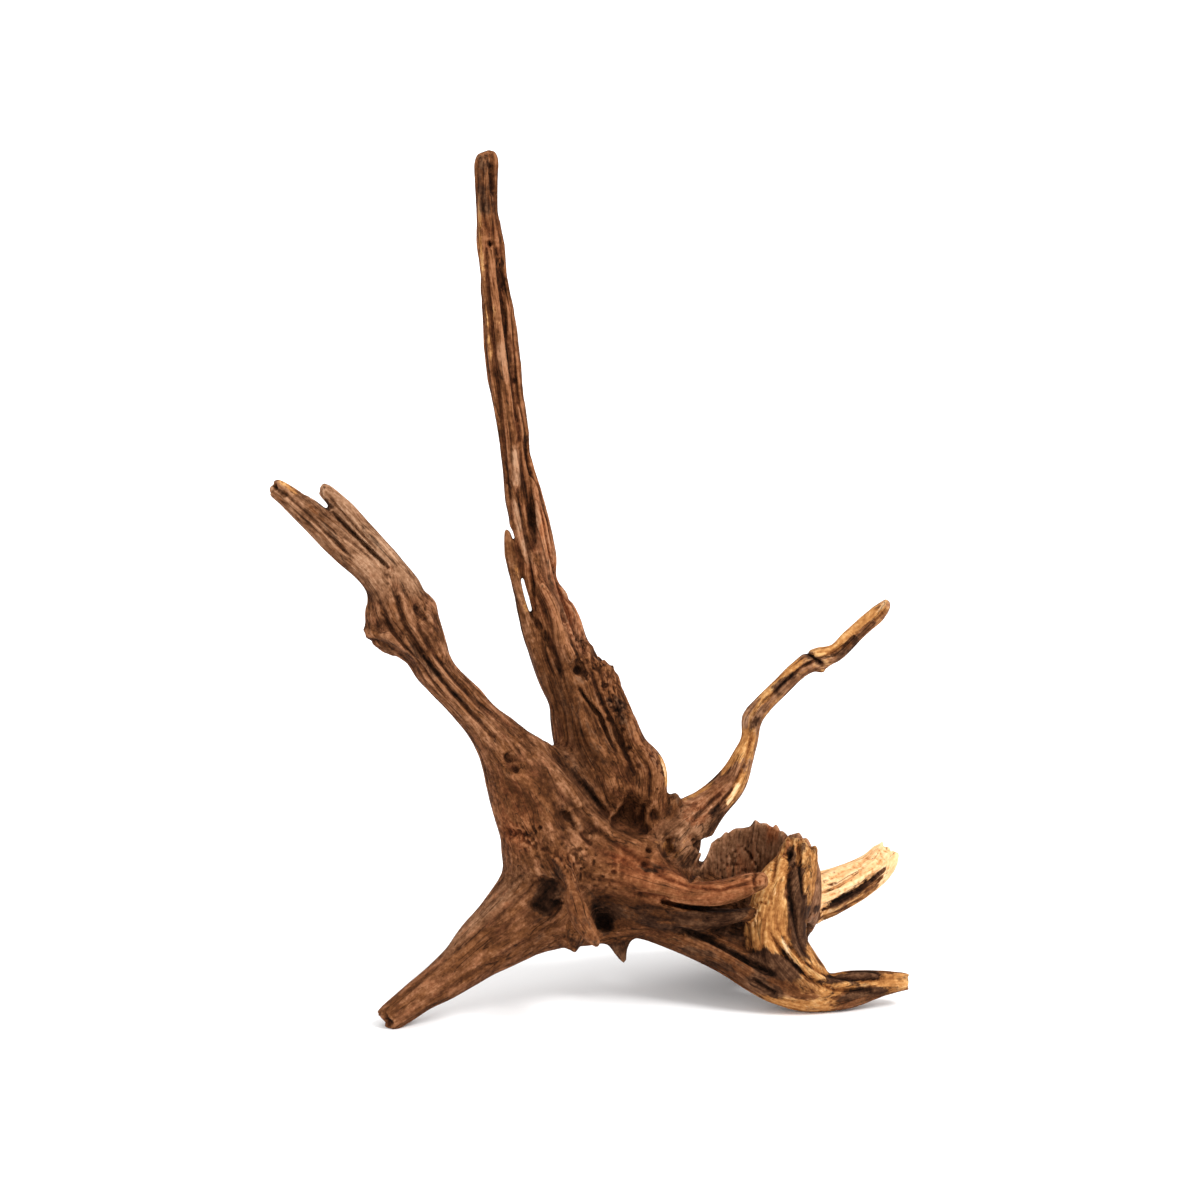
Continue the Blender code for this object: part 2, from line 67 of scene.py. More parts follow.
# %% Sight lines
MM = 0.001
SIGHT_ELEVATION = math.radians(12.0)
SIGHT_DISTANCE = 2200.0
TARGET_HEIGHT = 209.0
TARGET_UP = 215.0
FORWARD = np.array([0.0, math.cos(SIGHT_ELEVATION), -math.sin(SIGHT_ELEVATION)])
UPWARD = np.array([0.0, math.sin(SIGHT_ELEVATION), math.cos(SIGHT_ELEVATION)])
EYE = np.array([0.0, 0.0, TARGET_HEIGHT]) - SIGHT_DISTANCE * FORWARD


def placed(across, up, away):
    """Points where sight lines meet the planes y = away, and how much a width grows there.

    The sight line is eye + t * ray. The ray goes to (across, up) on the picture plane through
    the target, and t = (away - eye's y) / ray's y.
    """
    ray = (np.asarray(up) - TARGET_UP)[:, None] * UPWARD + [0.0, 0.0, TARGET_HEIGHT] - EYE
    ray[:, 0] += across
    scale = (np.asarray(away) - EYE[1]) / ray[:, 1]
    return EYE + ray * scale[:, None], scale


def seen(points):
    """Rows of across, up and depth: the ray to each point, cut off at the picture plane."""
    ray = points - EYE
    depth = ray @ FORWARD
    scale = SIGHT_DISTANCE / depth
    return np.stack([ray[:, 0] * scale, (ray @ UPWARD) * scale + TARGET_UP, depth], axis=1)


print("eye stands at, mm:", np.round(EYE, 1))

# %% [markdown]
# ## The limbs
#
# Every spire, branch, claw and root is a bent, tapering rod of wood. Each one is written as a
# few stations from its tip to its base: across, up, away, half width and half thickness, in
# millimetres. Drawing each limb as a Bézier curve with a bevel would also work, but a bevel has
# round sections only, and weathered limbs are mostly flat or oval.

# %% Stations of each limb
LIMBS = {
    "spire": (
        (-58.8, 441.0, 22, 4.2, 3.6),
        (-57.6, 437.0, 22, 6.4, 5.0),
        (-57.4, 426.0, 22, 6.4, 5.0),
        (-56.8, 412.5, 22, 6.2, 5.5),
        (-54.6, 392.5, 21, 7.0, 6.0),
        (-53.0, 375.0, 20, 7.1, 6.0),
        (-50.5, 359.0, 19, 7.8, 6.5),
        (-48.8, 339.0, 18, 8.5, 7.0),
        (-46.4, 317.5, 17, 7.9, 7.5),
        (-43.6, 300.0, 16, 7.4, 8.0),
        (-41.8, 284.0, 16, 7.5, 8.5),
        (-38.4, 265.0, 15, 9.5, 9.0),
        (-34.5, 250.0, 15, 9.4, 9.0),
        (-31.1, 235.0, 14, 9.1, 9.0),
        (-28.3, 221.0, 13, 8.9, 10.0),
        (-24.0, 212.0, 12, 10.4, 10.5),
        (-21.6, 205.0, 12, 11.8, 11.0),
        (-19.6, 192.5, 12, 13.4, 12.5),
        (-13.6, 177.5, 12, 15.8, 14.0),
        (-8.3, 162.5, 12, 17.7, 15.0),
        (-3.7, 145.0, 12, 19.3, 16.0),
        (3.5, 130.0, 11, 20.5, 17.0),
        (9.0, 115.0, 10, 22.0, 18.0),
        (15.0, 100.0, 10, 20.0, 18.0),
        (18.0, 85.0, 10, 17.0, 16.0),
    ),
    "trunk_slab": (
        (2.4, 184.8, 9, 4.8, 7.0),
        (4.2, 171.0, 9, 6.6, 9.0),
        (8.6, 156.5, 9, 7.3, 11.0),
        (13.6, 142.5, 9, 8.4, 12.0),
        (20.8, 129.0, 8, 12.2, 14.0),
        (20.8, 116.0, 7, 10.8, 15.0),
        (21.0, 100.0, 6, 12.0, 16.0),
    ),
    "under_web": (
        (-24.0, 56.0, -14, 9.0, 10.0),
        (-13.5, 51.6, -12, 9.2, 11.0),
        (8.0, 53.2, -8, 8.2, 11.0),
        (24.0, 56.0, -6, 8.0, 12.0),
    ),
    "knee_knob": (
        (-118.0, 196.6, -16, 2.4, 4.0),
        (-112.5, 197.6, -16, 3.6, 7.0),
        (-104.0, 200.0, -14, 6.0, 9.0),
    ),
    "branch_spur": (
        (113.6, 178.2, 27, 1.4, 1.6),
        (109.5, 180.6, 27, 2.6, 2.6),
        (104.0, 184.4, 27, 3.6, 3.6),
    ),
    "limb_web": (
        (50.0, 50.0, -3, 7.0, 9.0),
        (60.0, 48.5, -5, 9.0, 8.0),
        (72.0, 45.0, -7, 10.0, 8.0),
        (84.0, 44.0, -9, 9.0, 9.0),
    ),
    "branch_knob": (
        (38.2, 118.4, 0, 2.2, 3.0),
        (36.5, 113.0, 3, 3.6, 6.0),
        (33.0, 104.0, 6, 6.0, 8.0),
    ),
    "splinter": (
        (-47.4, 251.0, 9, 1.8, 1.6),
        (-46.0, 240.0, 9, 2.5, 2.6),
        (-43.0, 227.5, 9, 3.0, 3.4),
        (-39.7, 216.5, 9, 3.4, 4.0),
        (-37.5, 207.5, 9, 4.0, 5.0),
        (-34.0, 196.5, 10, 4.8, 7.0),
        (-28.9, 184.0, 11, 5.6, 9.0),
        (-23.5, 170.0, 12, 5.6, 9.0),
    ),
    "left_lower_prong": (
        (-166.0, 272.8, -10, 4.2, 4.0),
        (-157.0, 267.2, -10, 5.6, 5.0),
        (-148.0, 259.5, -10, 6.4, 6.0),
        (-139.0, 251.6, -11, 7.4, 7.0),
        (-127.0, 240.5, -12, 8.4, 8.5),
        (-115.5, 230.5, -12, 8.4, 9.5),
        (-105.5, 218.0, -13, 9.5, 11.0),
    ),
    "left_upper_prong": (
        (-140.2, 272.8, -8, 3.4, 3.2),
        (-134.6, 266.4, -8, 4.6, 4.5),
        (-126.8, 259.4, -9, 4.6, 5.5),
        (-119.2, 250.4, -9, 4.8, 6.0),
        (-110.5, 240.8, -10, 5.2, 7.0),
        (-102.5, 231.0, -11, 6.0, 8.0),
        (-96.5, 220.0, -12, 8.6, 10.0),
    ),
    "prong_nub": (
        (-144.2, 267.0, -9, 1.2, 2.0),
        (-142.0, 263.0, -9, 2.4, 3.0),
        (-139.0, 258.0, -10, 4.0, 5.0),
    ),
    "left_neck": (
        (-106.0, 227.5, -12, 10.0, 9.0),
        (-102.6, 216.5, -13, 14.8, 12.0),
        (-98.2, 205.0, -14, 19.0, 14.0),
        (-89.4, 193.0, -14, 13.4, 13.0),
        (-82.2, 178.8, -15, 10.2, 11.5),
        (-69.3, 165.2, -14, 10.0, 11.5),
        (-56.3, 151.5, -13, 11.6, 13.0),
        (-46.4, 139.6, -11, 15.9, 16.0),
        (-36.0, 124.8, -8, 23.2, 20.0),
        (-26.6, 109.0, -5, 27.6, 25.0),
        (-18.3, 94.0, -2, 33.6, 30.0),
        (-11.0, 80.0, 0, 31.0, 28.0),
    ),
    "left_root": (
        (-108.4, 3.8, -47, 7.2, 7.5),
        (-97.0, 12.2, -43, 8.3, 9.0),
        (-89.0, 18.2, -40, 8.9, 10.0),
        (-79.7, 24.0, -36, 10.5, 10.5),
        (-69.7, 31.6, -31, 12.2, 12.0),
        (-59.0, 41.0, -26, 15.6, 13.5),
        (-49.6, 48.0, -21, 18.0, 15.0),
        (-39.2, 56.2, -16, 21.8, 17.0),
        (-30.5, 63.0, -12, 26.6, 19.0),
        (-20.5, 74.0, -8, 27.0, 22.0),
        (-12.0, 84.0, -4, 25.0, 24.0),
    ),
    "claw": (
        (-0.2, 41.2, -53, 2.4, 2.6),
        (-4.0, 46.8, -53, 4.4, 4.8),
        (-9.0, 54.5, -52, 5.8, 6.2),
        (-12.6, 64.5, -47, 5.6, 6.6),
        (-16.2, 76.0, -38, 5.0, 7.0),
        (-22.0, 88.0, -24, 5.8, 8.6),
    ),
    "foot_nub": (
        (-13.0, 37.2, -22, 1.6, 2.0),
        (-12.4, 44.0, -24, 4.4, 5.0),
        (-11.0, 52.0, -28, 6.0, 7.0),
    ),
    "spike": (
        (12.9, 32.6, -10, 1.6, 1.5),
        (10.2, 41.4, -10, 5.2, 3.4),
        (8.6, 51.0, -10, 7.4, 5.5),
        (7.5, 62.5, -9, 7.5, 8.0),
        (6.0, 75.0, -6, 9.0, 12.0),
    ),
    "body": (
        (-20.0, 90.0, -3, 25.0, 26.0),
        (0.0, 84.0, -2, 24.0, 28.0),
        (20.0, 79.0, 0, 19.0, 26.0),
        (36.0, 73.0, 2, 12.0, 19.0),
        (50.0, 69.0, 0, 7.5, 12.0),
    ),
    "rim_limb": (
        (84.2, 76.0, -26, 4.4, 4.6),
        (74.0, 72.6, -27, 5.9, 6.8),
        (60.0, 68.6, -26, 6.5, 7.8),
        (45.0, 68.0, -23, 6.8, 9.0),
        (27.5, 73.0, -20, 9.0, 11.0),
        (7.5, 81.0, -14, 13.0, 14.0),
    ),
    "lower_limb": (
        (75.0, 58.5, -17, 3.2, 5.0),
        (65.0, 57.0, -17, 4.5, 7.0),
        (51.5, 56.0, -16, 6.0, 9.0),
        (36.0, 57.5, -14, 7.5, 11.0),
        (20.0, 62.5, -10, 10.0, 14.0),
        (2.5, 70.0, -6, 13.0, 18.0),
    ),
    "front_root": (
        (155.5, 24.0, -10, 4.4, 4.5),
        (140.0, 22.8, -13, 6.9, 7.0),
        (124.5, 20.0, -16, 9.5, 9.0),
        (110.0, 17.6, -19, 8.6, 11.0),
        (95.0, 19.9, -20, 9.4, 12.0),
        (80.0, 26.4, -18, 8.7, 12.0),
        (65.0, 35.2, -14, 8.0, 11.0),
        (50.0, 42.3, -10, 7.5, 11.0),
        (34.0, 49.2, -4, 7.6, 12.0),
        (16.0, 59.0, 0, 11.0, 16.0),
    ),
    "right_post": (
        (101.0, 96.0, 2, 9.6, 5.4),
        (98.4, 84.0, -1, 11.4, 8.5),
        (91.6, 69.0, -8, 15.2, 12.0),
        (88.8, 55.0, -12, 14.8, 13.0),
        (90.0, 41.5, -15, 14.2, 14.0),
        (97.6, 29.0, -18, 13.8, 14.0),
        (105.0, 21.5, -18, 12.5, 12.0),
    ),
    "pale_root": (
        (144.4, 91.0, 63, 6.6, 5.5),
        (138.6, 82.6, 57, 8.2, 7.5),
        (129.5, 76.0, 50, 9.1, 9.5),
        (117.5, 70.1, 41, 10.3, 11.0),
        (107.5, 66.4, 32, 11.7, 12.0),
        (97.0, 63.5, 24, 10.6, 12.0),
        (88.0, 60.0, 12, 10.0, 12.0),
    ),
    "thin_branch": (
        (145.6, 215.4, 30, 2.9, 2.6),
        (139.4, 208.4, 30, 4.8, 4.0),
        (131.5, 201.6, 30, 4.9, 4.5),
        (124.1, 194.5, 29, 5.1, 5.0),
        (117.2, 188.0, 28, 4.8, 5.0),
        (107.6, 185.8, 27, 5.6, 5.4),
        (99.4, 180.4, 26, 5.2, 5.5),
        (90.2, 171.4, 24, 5.0, 5.5),
        (80.9, 162.2, 23, 5.1, 5.5),
        (75.6, 155.2, 22, 5.7, 5.0),
        (75.2, 147.0, 21, 4.7, 5.0),
        (71.4, 136.6, 20, 5.9, 6.5),
        (66.0, 124.6, 18, 8.0, 8.5),
        (54.6, 112.4, 14, 9.6, 11.0),
        (43.4, 102.0, 10, 14.4, 15.0),
        (32.0, 91.5, 6, 17.0, 20.0),
    ),
    "rear_root": (
        (96.0, 44.0, 96, 5.0, 7.0),
        (91.0, 47.5, 93, 6.0, 8.0),
        (84.0, 54.0, 84, 7.0, 9.5),
        (70.0, 61.0, 70, 8.5, 11.5),
        (53.0, 69.0, 52, 11.0, 14.0),
        (36.0, 75.0, 34, 14.0, 18.0),
        (20.0, 80.0, 18, 17.0, 20.0),
        (6.0, 86.0, -2, 15.0, 18.0),
    ),
    "cup_floor": (
        (40.0, 56.0, 18, 10.0, 16.0),
        (60.0, 47.0, 24, 8.0, 25.0),
        (85.0, 42.0, 22, 8.0, 27.0),
        (93.0, 44.0, 12, 6.0, 10.0),
    ),
}
# The broken wall round the hollow at the right: its path seen from above runs from the far left
# round the back to the right post. Across, up, away, half height, half thickness.
CUP_WALL = (
    (47.0, 75.0, 26, 11.5, 4.0),
    (53.0, 76.5, 38, 18.0, 3.6),
    (59.0, 78.0, 45, 22.5, 3.4),
    (67.0, 78.5, 51, 27.5, 3.4),
    (75.0, 77.5, 52, 29.5, 3.4),
    (83.0, 76.5, 48, 29.5, 3.4),
    (91.0, 74.0, 41, 28.0, 3.6),
    (98.0, 72.5, 33, 28.0, 4.0),
    (104.0, 71.5, 22, 24.5, 4.5),
    (106.0, 70.0, 10, 18.5, 5.0),
    (103.0, 68.0, -2, 16.0, 5.0),
)
print(len(LIMBS) + 1, "limbs,", sum(map(len, LIMBS.values())) + len(CUP_WALL), "stations")

# %% [markdown]
# ## From stations to rods
#
# A limb has no corners, so a smooth curve runs through its stations. Every few millimetres
# along it stands an oval ring, and the rings are the surface of two parameters, along and
# around. A Skin modifier could give such rods too, but it guesses the joins and keeps round
# sections.

# %% Smooth limbs and their rings
PATH_STEP = 2.0
RING_SIDES = 24
THINNEST = 0.5


def run_along(points):
    """Length along a path at each of its points: the running sum of the steps between them."""
    return np.linalg.norm(np.diff(points, axis=0, prepend=points[:1]), axis=1).cumsum()


def smooth_stations(stations):
    """Stations every PATH_STEP along a cubic Hermite curve, whose slopes are the differences
    between neighbouring stations."""
    knots = np.array(stations, float)
    at = run_along(knots[:, :3])
    slope = np.gradient(knots, at, axis=0)
    along = np.linspace(0.0, at[-1], max(4, round(at[-1] / PATH_STEP) + 1))
    first = np.clip(np.searchsorted(at, along, side="right") - 1, 0, len(at) - 2)
    gap = (at[first + 1] - at[first])[:, None]
    t = (along - at[first])[:, None] / gap
    return (
        (2 * t**3 - 3 * t**2 + 1) * knots[first]
        + (t**3 - 2 * t**2 + t) * gap * slope[first]
        + (3 * t**2 - 2 * t**3) * knots[first + 1]
        + (t**3 - t**2) * gap * slope[first + 1]
    )


def limb_frame(stations, upright=False):
    """Centre line, side and front directions, half sizes and length along, one row a ring.

    Side = view direction x tangent, so the half width is what the viewer sees, and front =
    tangent x side. An upright wall takes the vertical as its side direction instead, and its
    fibres run up it. Grain is the order in which side, front and along are read for fibres.
    """
    rows = smooth_stations(stations)
    centre, scale = placed(rows[:, 0], rows[:, 1], rows[:, 2])
    tangent = np.gradient(centre, axis=0)
    tangent /= np.linalg.norm(tangent, axis=1)[:, None]
    side = np.cross([0.0, 0.0, 1.0] if upright else centre - EYE, tangent)
    side /= np.linalg.norm(side, axis=1)[:, None]
    front = np.cross(tangent, side)
    half = np.maximum(rows[:, 3:5] * scale[:, None], THINNEST)
    if upright:
        side, front = front, -side
    return {
        "centre": centre,
        "tangent": tangent,
        "side": side,
        "front": front,
        "half": half,
        "along": run_along(centre),
        "grain": [2, 1, 0] if upright else [0, 1, 2],
    }


def ring_loft(limb):
    """Points = centre + half width * cos(turn) * side + half thickness * sin(turn) * front."""
    turn = np.linspace(0.0, 2.0 * math.pi, RING_SIDES, endpoint=False)
    across = (limb["half"][:, 0, None] * np.cos(turn))[..., None] * limb["side"][:, None]
    deep = (limb["half"][:, 1, None] * np.sin(turn))[..., None] * limb["front"][:, None]
    points = (limb["centre"][:, None] + across + deep).reshape(-1, 3)
    rings = np.arange(len(points)).reshape(-1, RING_SIDES)
    ahead = np.roll(rings, -1, axis=1)
    quads = np.stack([rings[:-1], ahead[:-1], ahead[1:], rings[1:]], axis=-1).reshape(-1, 4)
    return points, quads, (rings[0][::-1], rings[-1])


limbs = {name: limb_frame(stations) for name, stations in LIMBS.items()}
limbs["cup_wall"] = limb_frame(CUP_WALL, upright=True)
print("rings:", sum(len(limb["centre"]) for limb in limbs.values()))

# %% [markdown]
# ## One skin over all limbs
#
# The rods overlap where they grow together. A Boolean union would leave sharp seams between
# them, while living wood heals over every crotch. A voxel remesh wraps all rods in one closed
# skin, and then only its hollow places are moved outwards, step by step, until the crotches
# fill up. Tips and ridges keep their place.

# %% Wrap and heal the skin
COARSE_GRID = 1.9
SOFTEN_STEPS = 3
FILLET_STEPS = 18
FILLET_PULL = 0.6


def mesh_object(name, points, faces):
    """A new object in the scene from points in millimetres and faces as rows of indices."""
    mesh = bpy.data.meshes.new(name)
    mesh.from_pydata((points * MM).tolist(), [], faces)
    obj = bpy.data.objects.new(name, mesh)
    bpy.context.scene.collection.objects.link(obj)
    return obj


def apply_modifier(obj, kind, **settings):
    """Gives the object one modifier and keeps its result as the object's own mesh."""
    modifier = obj.modifiers.new(kind.title(), kind)
    for key, value in settings.items():
        setattr(modifier, key, value)
    bpy.context.view_layer.update()
    graph = bpy.context.evaluated_depsgraph_get()
    made = bpy.data.meshes.new_from_object(obj.evaluated_get(graph))
    obj.modifiers.clear()
    old, obj.data = obj.data, made
    bpy.data.meshes.remove(old)


def read_rows(items, field, width, kind=np.float32):
    """One field of a mesh's points, edges or corners, as rows of so many numbers."""
    values = np.empty(len(items) * width, kind)
    items.foreach_get(field, values)
    return values.reshape(-1, width)


def read_points(mesh):
    """The mesh's points in millimetres."""
    return read_rows(mesh.vertices, "co", 3).astype(float) / MM


def read_edges(mesh):
    """The mesh's edges as pairs of points."""
    return read_rows(mesh.edges, "vertices", 2, np.int32)


def normals_of(mesh):
    """The direction in which the skin faces at each point."""
    return read_rows(mesh.vertex_normals, "vector", 3).astype(float)


def store_points(mesh, points):
    """Moves the mesh's points to new places, given in millimetres."""
    mesh.vertices.foreach_set("co", (points * MM).astype(np.float32).ravel())
    mesh.update()


def neighbour_mean(rows, edges):
    """The mean of each point's neighbours along the edges: sum of neighbours / their count."""
    a, b = edges.T
    size = len(rows)
    count = np.bincount(a, minlength=size) + np.bincount(b, minlength=size)
    columns = [np.bincount(a, c[b], size) + np.bincount(b, c[a], size) for c in rows.T]
    return np.stack(columns, axis=1) / np.maximum(count, 1)[:, None]


def soften(mesh, steps, amount=0.5):
    """Moves each point part of the way to the mean of its neighbours, a few times."""
    points, edges = read_points(mesh), read_edges(mesh)
    for _ in range(steps):
        points += amount * (neighbour_mean(points, edges) - points)
    store_points(mesh, points)


def fill_crotches(mesh, steps):
    """Moves a point only where the mean of its neighbours lies outside the skin."""
    points, edges = read_points(mesh), read_edges(mesh)
    for _ in range(steps):
        pull = neighbour_mean(points, edges) - points
        outward = (pull * normals_of(mesh)).sum(axis=1) > 0.0
        points += FILLET_PULL * pull * outward[:, None]
        store_points(mesh, points)


def cut_slits(obj, cutters):
    """Takes each rod out of the object: skin minus rod."""
    for stations in cutters.values():
        points, quads, caps = ring_loft(limb_frame(stations))
        cutter = mesh_object("slit", points, [face.tolist() for face in (*quads, *caps)])
        apply_modifier(obj, "BOOLEAN", object=cutter, operation="DIFFERENCE", solver="EXACT")
        bpy.data.objects.remove(cutter)


lofts = [ring_loft(limb) for limb in limbs.values()]
starts = np.cumsum([0] + [len(points) for points, _, _ in lofts])
faces = [
    (face + start).tolist()
    for start, (_, quads, caps) in zip(starts, lofts)
    for face in (*quads, *caps)
]
stump = mesh_object("driftwood_skin", np.concatenate([points for points, _, _ in lofts]), faces)
apply_modifier(stump, "REMESH", mode="VOXEL", voxel_size=COARSE_GRID * MM, adaptivity=0.0)
soften(stump.data, SOFTEN_STEPS)
fill_crotches(stump.data, FILLET_STEPS)
coarse = read_points(stump.data)
print("healed skin:", len(coarse), "points, mm:", np.round(np.ptp(coarse, axis=0), 1))

# %% [markdown]
# ## Slits and ledges
#
# Some gaps in the wood are younger than the healing: splits that light falls through, and
# ledges where a slab broke off. A Boolean cut gives those their sharp edges. Each cutter is
# written as stations, like a limb, and reaches right through along the sight line.

# %% Cut the slits and ledges
CUTS = {
    "splinter_slit": (
        (-39.6, 227.5, 9, 0.8, 26.0),
        (-38.0, 221.0, 9, 1.1, 26.0),
        (-36.2, 214.0, 9, 1.1, 26.0),
        (-33.6, 206.0, 10, 0.8, 26.0),
    ),
    "shard_gap": (
        (-52.0, 252.4, 9, 1.1, 26.0),
        (-46.8, 252.0, 9, 1.1, 26.0),
        (-44.2, 249.4, 9, 1.0, 26.0),
        (-42.8, 244.0, 9, 0.8, 26.0),
    ),
    "fork": (
        (-147.5, 272.6, -9, 1.7, 20.0),
        (-142.5, 267.2, -9, 1.6, 20.0),
        (-137.6, 262.4, -9, 1.1, 20.0),
        (-133.6, 258.6, -9, 0.7, 20.0),
    ),
    "cup_gap": (
        (53.8, 99.0, 16, 2.8, 46.0),
        (52.8, 94.0, 16, 2.3, 46.0),
        (51.4, 87.0, 16, 1.8, 46.0),
        (47.4, 78.6, 16, 1.5, 46.0),
    ),
    "face_ledge": (
        (-14.2, 227.0, 12, 1.6, 26.0),
        (-13.4, 220.0, 12, 2.4, 26.0),
        (-12.6, 214.4, 12, 2.8, 26.0),
    ),
    "slab_ledge": (
        (-3.4, 203.0, 10, 1.4, 26.0),
        (-1.4, 196.0, 10, 2.2, 26.0),
        (1.6, 189.6, 10, 3.6, 26.0),
    ),
    "knee_fold": (
        (-122.0, 196.0, -16, 0.7, 14.0),
        (-116.5, 195.0, -16, 0.6, 14.0),
        (-112.0, 193.8, -18, 0.5, 8.0),
    ),
    "limb_parting": (
        (30.0, 64.4, -26, 1.0, 8.0),
        (46.0, 61.2, -26, 1.5, 10.0),
        (62.0, 60.6, -26, 1.6, 12.0),
        (80.0, 62.6, -26, 1.9, 12.0),
    ),
}

before = len(stump.data.vertices)
cut_slits(stump, CUTS)
print(len(CUTS), "cuts, points before and after:", before, len(stump.data.vertices))

# %% [markdown]
# ## A finer skin
#
# The healed skin is too coarse for fibres. A second, finer voxel remesh gives it points close
# enough to carry ridges a few millimetres wide. Subdividing would do that too, but it would keep
# the long thin faces that the first step left in the crotches.

# %% Refine the skin
FINE_GRID = 0.85
FINE_SOFTEN_STEPS = 4

apply_modifier(stump, "REMESH", mode="VOXEL", voxel_size=FINE_GRID * MM, adaptivity=0.0)
soften(stump.data, FINE_SOFTEN_STEPS)
print("fine skin:", len(stump.data.vertices), "points")

# %% [markdown]
# ## Ridges and hollows that a viewer sees
#
# Some ridges and hollows make this stump the one it is. Each is a line drawn as the viewer sees
# it, dropped onto the skin along the sight lines, and raised or pressed in. A depth map of the
# skin tells where each sight line lands, so a mark never reaches through to a limb behind. A
# sculpting brush does the same by hand, but a line of numbers can be moved and tried again.

# %% Lines of the broad marks
# Height (negative is a hollow), half width, and the line, as across and up.
BROAD_MARKS = {
    "knee_lip": (2.4, 3.0, ((-119, 199), (-111, 198), (-104, 195), (-97, 190), (-90, 183))),
    "knee_under": (-2.4, 2.6, ((-112, 192), (-105, 189), (-98, 184), (-92, 178))),
    "knee_dish": (-2.4, 4.0, ((-113, 203), (-105, 202), (-97, 196))),
    "fork_slit": (-1.2, 1.6, ((-133, 259), (-125, 250), (-115, 240), (-105, 231))),
    "body_ridge": (3.4, 4.0, ((-46, 131), (-36, 122), (-28, 114), (-25, 103), (-22, 90))),
    "body_edge": (
        3.2,
        4.5,
        ((-30, 137), (-20, 127), (-12, 117), (-4, 107), (6, 98), (18, 95), (27, 97)),
    ),
    "trunk_crevice": (-6.0, 4.0, ((-23, 141), (-15, 131), (-7, 122), (1, 112), (9, 105))),
    "eye_hollow": (-11.0, 8.0, ((9, 110), (17, 106), (24, 105))),
    "eye_brow": (1.6, 3.4, ((2, 126), (14, 121), (25, 115), (31, 107))),
    "oval_hollow": (-8.0, 4.0, ((34, 97), (35, 91), (36, 87))),
    "oval_edge": (2.4, 3.0, ((28, 96), (30, 88), (36, 79), (44, 74))),
    "claw_hollow": (-5.0, 8.0, ((-24, 76), (-26, 68), (-31, 59))),
    "under_hollow": (-4.0, 6.5, ((1, 67), (3, 58), (4, 48))),
    "claw_side": (-3.5, 3.0, ((-9, 75), (-3.5, 63), (3.5, 49))),
    "spire_groove": (-4.2, 2.4, ((-40, 295), (-37, 265), (-34, 250), (-33, 238))),
    "spire_seam": (-2.5, 2.2, ((-51, 390), (-46, 350), (-41, 315), (-40, 295))),
    "splinter_crack": (-2.4, 1.5, ((-33, 206), (-27, 197), (-22, 187), (-20, 177))),
    "spire_ridge": (3.0, 3.2, ((-32, 227), (-25, 215), (-19, 197), (-14, 185), (-8, 172))),
    "red_face": (-2.6, 3.4, ((-24, 232), (-17, 214), (-11, 198))),
    "spire_notch": (-7.0, 3.2, ((-12, 182), (-9, 179))),
    "trunk_edge": (3.0, 4.5, ((12, 160), (20, 143), (28, 128), (30, 116))),
    "trunk_ridge": (2.4, 3.0, ((-12, 160), (-4, 146), (3, 138), (12, 134))),
    "trunk_fold": (-2.4, 3.0, ((-6, 162), (4, 150), (12, 142))),
    "scar": (-3.0, 4.0, ((-46, 133), (-43, 135))),
    "hollow_left": (-4.0, 5.0, ((-18, 109), (-18, 100))),
    "hollow_right": (-5.0, 5.5, ((-9, 113), (-5, 105), (-4, 97))),
    "side_crevice": (-3.0, 2.5, ((-48, 99), (-36, 97))),
    "body_sag": (-3.0, 7.0, ((10, 84), (26, 82))),
}
print(len(BROAD_MARKS), "broad marks drawn")

# %% Press the broad marks
DEPTH_CELL = 1.6
DEPTH_BLUR = 7
STROKE_REACH = 3.0
LEAST_DEPTH = 6.0
NORMAL_STEPS = 3


def picture_of(points):
    """What strokes fall on: the points as seen, the nearest depth in each square cell of the
    picture plane, and the low corner of that map."""
    view = seen(points)
    low = view[:, :2].min(axis=0) - 2.0 * DEPTH_CELL
    cell = ((view[:, :2] - low) / DEPTH_CELL).astype(int)
    nearest = np.full(cell.max(axis=0) + 3, np.inf)
    np.minimum.at(nearest, (cell[:, 0], cell[:, 1]), view[:, 2])
    return view, nearest, low


def along_line(line):
    """Points every millimetre or so along a line drawn through a few corners."""
    knots = np.array(line, float)
    if len(knots) == 1:
        return knots
    at = run_along(knots)
    steps = np.linspace(0.0, at[-1], max(2, int(at[-1]) + 1))
    return np.stack([np.interp(steps, at, knots[:, 0]), np.interp(steps, at, knots[:, 1])], axis=1)


